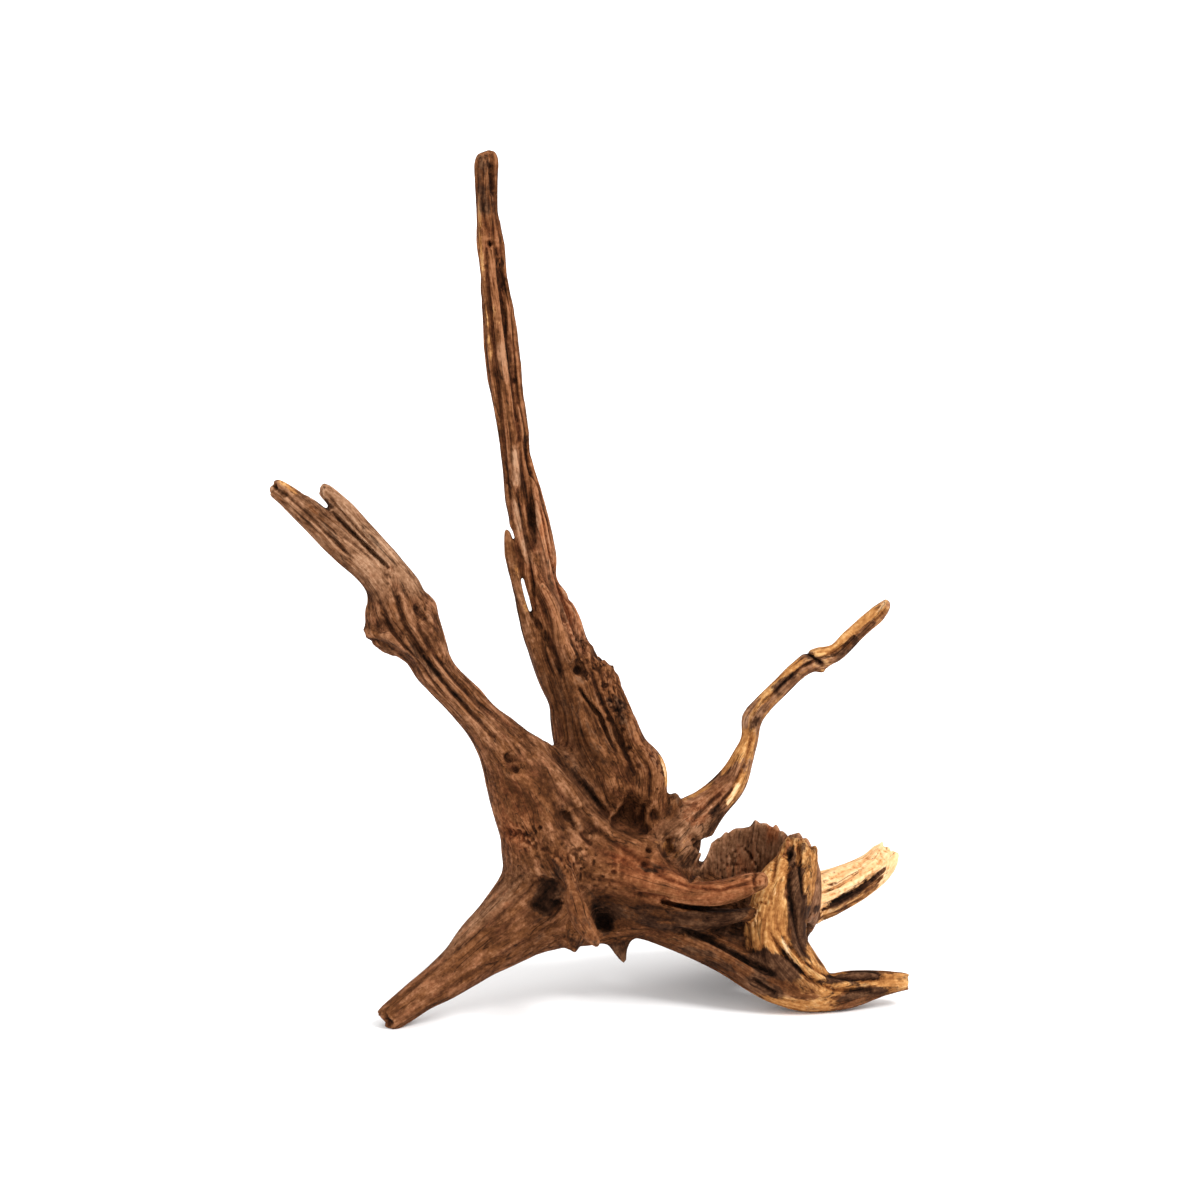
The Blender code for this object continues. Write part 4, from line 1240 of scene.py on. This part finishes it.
# Stains: colour, how much is added or taken away, half width, and the line.
STAINS = (
    ("golden", 1.0, 8.5, ((88, 82), (83, 68), (82, 54), (83, 44))),
    ("bark_and_shade", -1.0, 8.5, ((88, 82), (83, 68), (82, 54), (83, 46))),
    ("red", -0.6, 7.0, ((84, 74), (81, 54))),
    ("cream", 0.55, 3.0, ((78, 62), (79, 52))),
    ("cream", 0.4, 2.4, ((86, 74), (88, 64))),
    ("bark_and_shade", 1.1, 3.4, ((97, 80), (97.5, 66), (99, 52), (101, 40))),
    ("golden", -1.0, 3.4, ((97, 80), (97.5, 66), (99, 52), (101, 40))),
    ("red", 0.9, 5.0, ((89, 94), (91, 86))),
    ("red", 0.5, 5.0, ((98, 93), (101, 88))),
    ("bark_and_shade", 0.9, 1.8, ((95, 90), (96, 84))),
    ("golden", 0.4, 5.0, ((104, 88), (106, 76), (104, 66))),
    ("golden", 0.9, 3.0, ((103, 53), (105, 44), (106, 38))),
    ("cream", 0.4, 2.0, ((104, 50), (106, 40))),
    ("bark_and_shade", 1.0, 5.0, ((77, 37), (86, 33), (95, 29))),
    ("bark_and_shade", 0.65, 2.8, ((112, 25), (126, 27), (140, 28))),
    ("bark_and_shade", 0.6, 2.4, ((120, 16), (132, 19), (142, 20))),
    ("golden", 0.7, 3.4, ((134, 25), (146, 25), (154, 25))),
    ("golden", 0.5, 3.0, ((112, 20), (124, 22), (134, 24))),
    ("cream", 0.6, 1.8, ((90, 46), (96, 36), (101, 31))),
    ("golden", 0.9, 3.2, ((88, 48), (95, 37), (101, 30))),
    ("golden", 0.9, 2.8, ((104, 33), (111, 25), (118, 20))),
    ("cream", 0.5, 1.6, ((105, 32), (111, 25), (117, 20))),
    ("golden", 0.9, 2.2, ((113, 31), (120, 28), (130, 24))),
    ("golden", 0.9, 4.4, ((80, 15), (94, 11), (106, 9), (116, 12))),
    ("tan", 0.6, 4.0, ((70, 24), (84, 15), (98, 12))),
    ("cream", 0.35, 2.6, ((92, 13), (106, 11))),
    ("golden", 1.0, 3.0, ((142, 21), (152, 24))),
    ("cream", 0.5, 2.0, ((124, 26), (126, 25))),
    ("bark_and_shade", 0.9, 2.6, ((76, 26), (84, 20), (90, 18))),
    ("bark_and_shade", 0.3, 5.0, ((42, 40), (54, 35), (66, 29))),
    ("bark_and_shade", 1.2, 2.2, ((103, 58), (117, 63), (130, 70))),
    ("bark_and_shade", 1.0, 1.3, ((128, 69), (135, 74), (143, 81))),
    ("cream", -1.0, 4.6, ((103, 51), (117, 56), (130, 65), (140, 73))),
    ("tan", 0.5, 4.0, ((103, 49), (117, 55), (130, 64))),
    ("golden", 0.4, 3.0, ((104, 46), (116, 52), (128, 60))),
    ("cream", 0.5, 5.0, ((132, 84), (142, 88))),
    ("golden", 1.0, 2.2, ((40, 116.5), (48, 119.5), (56, 124))),
    ("cream", 0.3, 1.6, ((44, 118), (54, 123))),
    ("golden", 0.9, 1.6, ((60, 127), (68, 138), (73, 150))),
    ("golden", 1.0, 2.2, ((72, 128), (68, 120), (63, 113))),
    ("cream", 0.8, 1.8, ((70, 124), (67, 119), (63, 112))),
    ("cream", 0.8, 1.8, ((61, 106), (58, 103))),
    # Painted shadow under the base of the thin branch.
    ("bark_and_shade", 0.6, 4.0, ((58, 112), (60, 106), (55, 99))),
    ("bark_and_shade", 0.35, 5.0, ((52, 96), (50, 88), (47, 82))),
    ("golden", -0.7, 8.0, ((42, 104), (54, 112), (64, 126))),
    ("tan", -0.5, 7.0, ((42, 104), (54, 112), (62, 122))),
    ("golden", 0.5, 3.5, ((71, 136), (76, 148))),
    ("bark_and_shade", 0.5, 2.4, ((77, 152), (79, 156))),
    ("golden", 0.6, 2.0, ((80, 165), (90, 176), (100, 185))),
    ("bark_and_shade", 0.45, 3.6, ((86, 168), (98, 179))),
    ("golden", 0.9, 2.6, ((108, 188), (118, 193), (126, 201), (138, 210))),
    ("cream", 0.35, 2.0, ((134, 207), (143, 214))),
    ("bark_and_shade", 0.6, 2.4, ((117, 185), (123, 190), (129, 197))),
    ("bark_and_shade", 0.6, 1.6, ((101, 189), (106, 186.5), (111, 183))),
    ("tan", 0.9, 7.0, ((44, 102), (56, 114))),
    ("tan", 0.5, 5.0, ((76, 138), (74, 150), (78, 162))),
    ("red", 0.25, 7.0, ((44, 102), (56, 114))),
    ("red", 0.3, 6.0, ((66, 82), (80, 82))),
    ("red", 1.2, 2.2, ((85.5, 101), (86.5, 97))),
    ("red", 0.5, 6.0, ((-46, 104), (-42, 92))),
    ("bark_and_shade", 0.3, 8.0, ((-20, 112), (-8, 100))),
    ("tan", -0.5, 12.0, ((-46, 128), (-36, 98))),
    ("red", 0.4, 5.0, ((-30, 264), (-25, 240), (-17, 215), (-8, 195))),
    ("tan", 1.2, 5.5, ((-30, 264), (-25, 240), (-17, 215), (-8, 195))),
    ("red", 0.15, 6.0, ((2, 176), (8, 158), (16, 138))),
    ("bark_and_shade", 0.4, 5.0, ((6, 168), (13, 153))),
    ("tan", 1.0, 2.2, ((-42.5, 291), (-42, 282), (-41.5, 271))),
    ("tan", 0.9, 1.7, ((-43, 266), (-40, 250), (-35, 233))),
    ("tan", 0.4, 4.0, ((-50, 345), (-46, 325))),
    ("tan", -0.6, 8.0, ((-58, 438), (-57, 405))),
    ("bark_and_shade", 0.4, 8.0, ((-58, 438), (-57, 405))),
    ("golden", 0.55, 1.4, ((-60.5, 425), (-60, 395), (-57, 360), (-54, 330))),
    ("golden", 0.4, 2.0, ((-53, 362), (-51, 352))),
    ("golden", 0.25, 2.0, ((-46, 250), (-42, 230), (-36, 205))),
    ("red", -0.4, 13.0, ((-22, 186), (-10, 160), (4, 130))),
    ("bark_and_shade", 0.2, 13.0, ((-22, 186), (-10, 160), (4, 130))),
    # Painted shadow in the crevice where the trunk goes behind the body's upper edge.
    ("bark_and_shade", 0.6, 2.6, ((-20, 138), (-8, 123), (4, 109))),
    # Painted shadow in the parting between the roots.
    ("bark_and_shade", 0.6, 1.8, ((38, 50), (55, 45.8), (70, 37), (84, 29))),
    ("golden", 0.9, 1.6, ((30, 140), (33, 130), (34, 120))),
    ("cream", 0.7, 1.3, ((31, 134), (33, 126))),
    ("golden", 0.7, 2.4, ((-162, 277), (-151, 268))),
    ("bark_and_shade", 0.8, 2.2, ((-138, 266), (-134, 260))),
    ("tan", 0.8, 7.0, ((-120, 250), (-108, 228))),
    ("bark_and_shade", 0.5, 5.0, ((-112, 194), (-104, 188))),
    ("tan", 0.4, 6.0, ((-40, 76), (-60, 58), (-84, 38))),
    ("bark_and_shade", 0.3, 5.0, ((-20, 50), (-44, 38), (-66, 24))),
    # Painted shadow in the hollow left of the claw.
    ("bark_and_shade", 1.0, 7.0, ((-23, 75), (-26, 67), (-31, 58))),
    # Painted shade in the recess under the body, right of the claw.
    ("bark_and_shade", 0.8, 6.0, ((0, 60), (4, 52))),
    # Painted shade along the claw's right side.
    ("bark_and_shade", 0.5, 3.0, ((-7, 72), (-2, 62), (4, 50))),
    ("red", 0.4, 8.0, ((4, 88), (24, 80), (44, 74))),
    ("bark_and_shade", 0.4, 5.0, ((14, 82), (34, 80), (46, 86))),
    ("bark_and_shade", 0.3, 5.0, ((-92, 214), (-86, 204))),
    ("bark_and_shade", 0.5, 2.6, ((-100, 200), (-88, 184), (-70, 166), (-54, 150))),
    ("golden", -1.4, 4.6, ((66, 71), (76, 74), (85, 76))),
    ("red", 0.3, 4.6, ((50, 70), (66, 71), (84, 76))),
    ("golden", -1.4, 4.0, ((58, 57), (70, 58), (76, 58.5))),
    ("bark_and_shade", 0.5, 4.0, ((58, 57), (70, 58), (76, 58.5))),
)


def store_values(mesh, name, values, domain="POINT"):
    """Stores one number or vector for each point or corner, which a material reads by name."""
    values = np.asarray(values, np.float32)
    kind, field = ("FLOAT", "value") if values.ndim == 1 else ("FLOAT_VECTOR", "vector")
    layer = mesh.attributes.new(name, kind, domain)
    layer.data.foreach_set(field, values.ravel())


def colour_shares(points, weights):
    """Each limb's shares, blended by the weights, plus every stain's strength * stroke."""
    shares = weights.T @ np.array([TINTS.get(name, PLAIN_TINT) for name in limbs])
    picture = picture_of(points)
    for colour, strength, half_width, line in STAINS:
        deep = max(STAIN_DEPTH, 1.6 * half_width)
        near, value = stroke(picture, line, half_width, deep)
        shares[near, COLOURS.index(colour)] += strength * value
    return np.clip(shares, 0.0, 1.0)


def hollowness(points, edges, normals, steps):
    """How far each point lies below its surroundings, in mm: (their mean - point) . normal."""
    mean = points.copy()
    for _ in range(steps):
        mean += 0.7 * (neighbour_mean(mean, edges) - mean)
    return ((mean - points) * normals).sum(axis=1)


mesh = stump.data
places, weights = straighten_all(points)
shares = colour_shares(points, weights)
for number, colour in enumerate(COLOURS):
    store_values(mesh, colour, shares[:, number])
edges, normals = read_edges(mesh), normals_of(mesh)
# Furrow and hollow tell how far each point lies below its surroundings; the material darkens by
# them, as dirt and painted shade.
furrow = hollowness(points, edges, normals, FURROW_STEPS)
hollow = hollowness(points, edges, normals, HOLLOW_STEPS)
store_values(mesh, "weathered", wear_of(points, weights))
store_values(mesh, "furrow", furrow)
store_values(mesh, "hollow", hollow)
print("furrow from", np.round(np.percentile(furrow, [2, 50, 98]), 2), "mm")
print("hollow from", np.round(np.percentile(hollow, [2, 50, 98]), 2), "mm")

# %% [markdown]
# ## Grain that follows the limbs
#
# The finest fibres are too thin for the mesh, so the material draws them. It needs to know
# which way they run. Every face keeps its places in the two limbs that matter most there, and
# how to mix them. They are stored at the face's corners and not at its points, so that a face
# never stretches a pattern from one limb's places to another's.

# %% Store the grain places
# The patterns of two limbs lie so far apart along the grain that they never look alike.
LIMB_GAP = 310.0


def store_grain(mesh, places, weights):
    """Two straightened places for each face's corners, in metres, and the second one's share.

    The two limbs with the greatest summed weight over a face's three points are taken in the
    order of the limbs, and the share is weight b / (weight a + weight b) at the corner.
    """
    corners = read_rows(mesh.loops, "vertex_index", 1, np.int32).ravel()
    faces = corners.reshape(-1, 3)
    total = weights[:, faces].sum(axis=2)
    first = total.argmax(axis=0)
    total[first, np.arange(len(faces))] = -1.0
    second = total.argmax(axis=0)
    pair = np.sort(np.stack([first, second]), axis=0).repeat(3, axis=1)
    a, b = weights[pair[0], corners], weights[pair[1], corners]
    for name, limb in (("grain_a", pair[0]), ("grain_b", pair[1])):
        place = places[limb, corners].astype(np.float32)
        place[:, 2] += LIMB_GAP * limb
        store_values(mesh, name, place * MM, "CORNER")
    share = (b / np.maximum(a + b, 1e-6)).astype(np.float32)
    store_values(mesh, "grain_share", share, "CORNER")
    return share


share = store_grain(mesh, places, weights)
print("corners that mix two limbs:", int(((share > 0.1) & (share < 0.9)).sum()))
store_points(mesh, points + TO_FRAME)
mesh.shade_smooth()

# %% [markdown]
# ## Colours and nodes
#
# Colours are written as sRGB hex values, as a paint chart gives them, and one function turns
# them to the linear numbers that Blender counts with. One more function adds a node with its
# settings and its links, so that each material below reads as a list.

# %% Helpers for materials
def linear(hex_colour):
    """sRGB to linear: c / 12.92 below 0.04045, else ((c + 0.055) / 1.055) ^ 2.4."""
    srgb = np.array([int(hex_colour[i : i + 2], 16) for i in (1, 3, 5)]) / 255.0
    flat = np.where(srgb <= 0.04045, srgb / 12.92, ((srgb + 0.055) / 1.055) ** 2.4)
    return (*flat.tolist(), 1.0)


def add_node(tree, kind, inputs=None, **settings):
    """Adds a node: settings are its own fields, inputs are values or sockets that feed it."""
    node = tree.nodes.new(kind)
    for name, value in settings.items():
        setattr(node, name, value)
    for name, value in (inputs or {}).items():
        if isinstance(value, bpy.types.NodeSocket):
            tree.links.new(value, node.inputs[name])
        else:
            node.inputs[name].default_value = value
    return node


print("cream wood, linear:", np.round(linear("#f3cd94"), 3))

# %% [markdown]
# ## The grain pattern
#
# Wood fibres are under a tenth of a millimetre wide, but they part in strands of half a
# millimetre and in streaks of a few millimetres, and those show. The pattern is one node group
# that takes a straightened place. It is used twice, once for each of a face's two limbs.

# %% Grain group
# Width and length of each pattern in millimetres, then its detail and roughness. Real strands are
# about half a millimetre wide, and they are drawn nearly twice as wide so that they show.
PATTERNS = {
    "Streak": (3.2, 70.0, 4.0, 0.62),
    "Strand": (0.9, 18.0, 4.0, 0.65),
    "Line": (2.4, 60.0, 2.0, 0.5),
    "Split": (4.2, 60.0, 1.5, 0.5),
    "Chip": (4.0, 9.0, 5.0, 0.68),
}
# The fibres sway to either side by up to so many millimetres, in waves counted to the metre.
SWAY = 1.6
WAVES = (60.0, 60.0, 28.0)


def grain_group():
    """Noise at places divided by (width, width, length), one for each kind of pattern."""
    tree = bpy.data.node_groups.new("wood grain", "ShaderNodeTree")
    tree.interface.new_socket("Place", in_out="INPUT", socket_type="NodeSocketVector")
    for name in PATTERNS:
        tree.interface.new_socket(name, in_out="OUTPUT", socket_type="NodeSocketFloat")
    place = add_node(tree, "NodeGroupInput").outputs["Place"]
    slow = add_node(tree, "ShaderNodeVectorMath", {0: place, 1: WAVES}, operation="MULTIPLY")
    wave = add_node(
        tree, "ShaderNodeTexNoise", {"Vector": slow.outputs[0], "Scale": 1.0, "Detail": 1.0}
    )
    swing = add_node(
        tree,
        "ShaderNodeVectorMath",
        {0: wave.outputs["Color"], 1: (2.0 * SWAY * MM, 2.0 * SWAY * MM, 0.0), 2: place},
        operation="MULTIPLY_ADD",
    )
    result = add_node(tree, "NodeGroupOutput")
    for name, (width, length, detail, rough) in PATTERNS.items():
        scale = [1.0 / (size * MM) for size in (width, width, length)]
        small = add_node(
            tree, "ShaderNodeVectorMath", {0: swing.outputs[0], 1: scale}, operation="MULTIPLY"
        )
        cloud = add_node(
            tree,
            "ShaderNodeTexNoise",
            {"Vector": small.outputs[0], "Scale": 1.0, "Detail": detail, "Roughness": rough},
        )
        tree.links.new(cloud.outputs["Fac"], result.inputs[name])
    return tree


GRAIN = grain_group()
print("grain group:", len(GRAIN.nodes), "nodes")

# %% [markdown]
# ## Weathered root wood
#
# The wood is dull and dry: light scatters in the open fibres, so the roughness is high and
# there is no varnish. Furrows and deep hollows are darkened, partly for the dirt they hold and
# partly as painted shade, and ridges are rubbed light. The material lays the five colours over
# plain brown one after another. The edge of each is broken up by chips along the grain, because
# bark and old skin come off in flakes.

# %% Wood material
# From furrow to ridge: the brown that is everywhere, then each colour that is laid over it.
BROWN = ("#1c0e07", "#321a0c", "#472814", "#643c21", "#865737")
FINISHES = {
    "tan": (0.42, ("#3a2315", "#583925", "#765239", "#936c50", "#b48c6e")),
    "red": (0.42, ("#301509", "#502613", "#6d3a20", "#8a5232", "#a86d47")),
    "golden": (0.15, ("#4b2811", "#794824", "#986335", "#b57d47", "#d4a36a")),
    "cream": (0.12, ("#b67c4b", "#d19864", "#e5af7a", "#efc08c", "#f5cfa2")),
    # Inner bark; the same near-black is painted as shade into a few hollows and crevices.
    "bark_and_shade": (0.16, ("#070302", "#190d06", "#2d190e", "#462c1c", "#664630")),
}
# The near-black of dirt in splits, also laid as painted shade into deep hollows.
DIRT_AND_SHADE = "#0e0603"
# Size in millimetres, detail and roughness of the patterns that don't follow the grain.
CLOUDS = {
    "mottle": (14.0, 5.0, 0.62),
    "speck": (2.2, 3.0, 0.6),
}
BUMP_HEIGHT = 1.0
# The sums of the material, one node a line: the result's name, what is done, and what goes in. A
# range gives value, from low, from high, to low and to high. Every noise is 0.5 on average.
SUMS = (
    # Thin dark lines lie where the line noise is near its mean.
    ("thin", "SUBTRACT", "Line", 0.5),
    ("thin", "ABSOLUTE", "thin"),
    ("thin", "RANGE", "thin", 0.0, 0.035, 1.0, 0.0),
    # The grain is drawn more strongly where the wood is more weathered.
    ("drawn", "MULTIPLY_ADD", "Streak", 0.75, -0.95),
    ("drawn", "MULTIPLY_ADD", "Strand", 1.15, "drawn"),
    ("drawn", "MULTIPLY_ADD", "thin", -0.3, "drawn"),
    # Tone, from furrow at 0 to ridge at 1.
    # Furrows are darker and ridges lighter: partly dirt and rubbing, partly painted shade.
    ("ridge", "RANGE", "furrow", -0.3, 0.3, 0.5, -0.5),
    ("tone", "MULTIPLY_ADD", "drawn", "weathered", -0.23),
    ("tone", "MULTIPLY_ADD", "mottle", 0.7, "tone"),
    ("tone", "MULTIPLY_ADD", "speck", 0.9, "tone"),
    ("tone", "MULTIPLY_ADD", "ridge", 0.7, "tone"),
    # Flakes break up the edge of every colour.
    ("flakes", "MULTIPLY_ADD", "Chip", 1.7, -1.35),
    ("flakes", "ADD", "flakes", "Streak"),
    # Splits open where the split noise is near its mean, but only in dark streaks.
    ("split", "SUBTRACT", "Split", 0.5),
    ("split", "ABSOLUTE", "split"),
    ("split", "RANGE", "split", 0.0, 0.03, 1.0, 0.0),
    ("gate", "RANGE", "Streak", 0.42, 0.52, 1.0, 0.0),
    ("split", "MULTIPLY", "split", "gate"),
    # Dirt lies in splits, and deep hollows are darkened by dirt and painted shade.
    ("dirt_and_shade", "MULTIPLY", "split", 0.75),
    # Deep hollows get dirt and painted shade, darker the deeper the hollow.
    ("deep", "RANGE", "hollow", 0.6, 3.6, 0.0, 0.55),
    ("dirt_and_shade", "MAXIMUM", "dirt_and_shade", "deep"),
    # The fine relief, as shares of the bump height.
    ("height", "MULTIPLY", "split", -0.4),
    ("height", "MULTIPLY_ADD", "Strand", 0.7, "height"),
    ("height", "MULTIPLY_ADD", "thin", -0.15, "height"),
    ("height", "MULTIPLY_ADD", "Streak", 0.5, "height"),
    ("height", "MULTIPLY_ADD", "Chip", 0.7, "height"),
    ("height", "MULTIPLY_ADD", "mottle", 0.8, "height"),
    # Rubbed ridges are a little less rough than furrows.
    ("rough", "RANGE", "tone", 0.0, 1.0, 0.95, 0.72),
)


def lay_finishes(tree, known):
    """Colour = a ramp over the tone for each finish, laid over the last one by a mask.

    The mask is a smooth step of (share + flakes) from 0.5 - ragged to 0.5 + ragged.
    """
    colour = None
    for name, (ragged, stops) in {"brown": (0.0, BROWN), **FINISHES}.items():
        ramp = add_node(tree, "ShaderNodeValToRGB", {"Fac": known["tone"]})
        while len(ramp.color_ramp.elements) < len(stops):
            ramp.color_ramp.elements.new(0.5)
        for number, stop in enumerate(stops):
            ramp.color_ramp.elements[number].position = number / (len(stops) - 1)
            ramp.color_ramp.elements[number].color = linear(stop)
        if colour is None:
            colour = ramp.outputs["Color"]
            continue
        edge = add_node(
            tree, "ShaderNodeMath", {0: known[name], 1: known["flakes"]}, operation="ADD"
        )
        mask = add_node(
            tree,
            "ShaderNodeMapRange",
            {0: edge.outputs[0], 1: 0.5 - ragged, 2: 0.5 + ragged, 3: 0.0, 4: 1.0},
            interpolation_type="SMOOTHSTEP",
        )
        layer = add_node(
            tree,
            "ShaderNodeMix",
            {0: mask.outputs[0], 6: colour, 7: ramp.outputs["Color"]},
            data_type="RGBA",
        )
        colour = layer.outputs[2]
    # Last, dirt and painted shade darken the colour in splits and deep hollows.
    dirt_and_shade_layer = add_node(
        tree, "ShaderNodeMix", {0: known["dirt_and_shade"], 6: colour, 7: linear(DIRT_AND_SHADE)}, data_type="RGBA"
    )
    return dirt_and_shade_layer.outputs[2]


def wood_material():
    """Tone = streaks + strands + mottle + specks + ridges, read off by every finish.

    Ridges are rubbed light, and furrows are darkened by dirt and painted shade.
    """
    material = bpy.data.materials.new("weathered_root_wood")
    material.use_nodes = True
    tree = material.node_tree
    surface = tree.nodes["Principled BSDF"]
    known = {
        name: add_node(tree, "ShaderNodeAttribute", attribute_name=name).outputs["Fac"]
        for name in (*COLOURS, "weathered", "furrow", "hollow", "grain_share")
    }
    halves = []
    for name in ("grain_a", "grain_b"):
        place = add_node(tree, "ShaderNodeAttribute", attribute_name=name).outputs["Vector"]
        halves.append(add_node(tree, "ShaderNodeGroup", node_tree=GRAIN))
        tree.links.new(place, halves[-1].inputs["Place"])
    for name in PATTERNS:
        mixed = add_node(
            tree,
            "ShaderNodeMix",
            {0: known["grain_share"], 2: halves[0].outputs[name], 3: halves[1].outputs[name]},
        )
        known[name] = mixed.outputs[0]
    coordinates = add_node(tree, "ShaderNodeTexCoord").outputs["Object"]
    for name, (size, detail, rough) in CLOUDS.items():
        scale = 1.0 / (size * MM)
        cloud = add_node(
            tree,
            "ShaderNodeTexNoise",
            {"Vector": coordinates, "Scale": scale, "Detail": detail, "Roughness": rough},
        )
        known[name] = cloud.outputs["Fac"]
    for name, operation, *values in SUMS:
        inputs = {slot: known.get(value, value) for slot, value in enumerate(values)}
        if operation == "RANGE":
            step = add_node(tree, "ShaderNodeMapRange", inputs)
        else:
            step = add_node(tree, "ShaderNodeMath", inputs, operation=operation)
        known[name] = step.outputs[0]

    bump = add_node(
        tree,
        "ShaderNodeBump",
        {"Strength": 1.0, "Distance": BUMP_HEIGHT * MM, "Height": known["height"]},
    )
    tree.links.new(lay_finishes(tree, known), surface.inputs["Base Color"])
    tree.links.new(bump.outputs["Normal"], surface.inputs["Normal"])
    tree.links.new(known["rough"], surface.inputs["Roughness"])
    surface.inputs["IOR"].default_value = 1.5
    surface.inputs["Specular IOR Level"].default_value = 0.05
    return material


mesh.materials.clear()
mesh.materials.append(wood_material())
print("wood material:", len(mesh.materials[0].node_tree.nodes), "nodes")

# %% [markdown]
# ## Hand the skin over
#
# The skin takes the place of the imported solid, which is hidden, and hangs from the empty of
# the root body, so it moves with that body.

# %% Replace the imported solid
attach(stump, "root")
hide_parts("driftwood")
print("skin:", len(mesh.polygons), "triangles")

# %% [markdown]
# ## Floor, light and camera
#
# A cut-out photograph has an even white ground and soft light from above. A large pale floor
# under a white sky gives both, and a wide sun from the front right gives the wood its form. An
# area lamp would light the near floor more than the far floor, which would show as a grey band.

# %% Floor and light
FLOOR_SIZE = 24.0
SUNS = {
    "key": (2.2, 22.0, (0.9, -0.7, 1.3)),
    "fill": (0.4, 60.0, (-1.0, -0.5, 0.7)),
}
SKY = 1.15

bpy.ops.mesh.primitive_grid_add(x_subdivisions=8, y_subdivisions=8, size=FLOOR_SIZE)
floor = bpy.context.object
floor.name = "floor"
paper = bpy.data.materials.new("matt_white_paper")
paper.use_nodes = True
paper_surface = paper.node_tree.nodes["Principled BSDF"]
paper_surface.inputs["Base Color"].default_value = linear("#fbfbfb")
paper_surface.inputs["Roughness"].default_value = 0.9
paper_surface.inputs["Specular IOR Level"].default_value = 0.1
floor.data.materials.append(paper)

for name, (strength, angle, place) in SUNS.items():
    sun = bpy.data.lights.new(name, "SUN")
    sun.energy = strength
    sun.angle = math.radians(angle)
    lamp = bpy.data.objects.new(name, sun)
    bpy.context.scene.collection.objects.link(lamp)
    lamp.location = place
    lamp.rotation_euler = lamp.location.to_track_quat("Z", "Y").to_euler()
world = bpy.data.worlds.new("white sky")
world.use_nodes = True
world.node_tree.nodes["Background"].inputs["Color"].default_value = (1.0, 1.0, 1.0, 1.0)
world.node_tree.nodes["Background"].inputs["Strength"].default_value = SKY
bpy.context.scene.world = world
bpy.context.scene.view_settings.view_transform = "Standard"
print("lights:", ", ".join(SUNS))

# %% [markdown]
# The camera stands where the sight lines meet. Its frame is as wide as the picture plane, which
# is 600 mm at the target, so focal length = sensor width * distance / frame width.

# %% Camera
FRAME_WIDTH = 600.0
camera = bpy.data.cameras.new("camera")
camera.sensor_width = 36.0
camera.lens = camera.sensor_width * SIGHT_DISTANCE / FRAME_WIDTH
camera.clip_end = 60.0
stand = bpy.data.objects.new("camera", camera)
bpy.context.scene.collection.objects.link(stand)
stand.location = (EYE + TO_FRAME) * MM
stand.rotation_euler = (math.radians(90.0) - SIGHT_ELEVATION, 0.0, 0.0)
bpy.context.scene.camera = stand
print("lens:", round(camera.lens, 1), "mm, at", [round(c, 3) for c in stand.location])
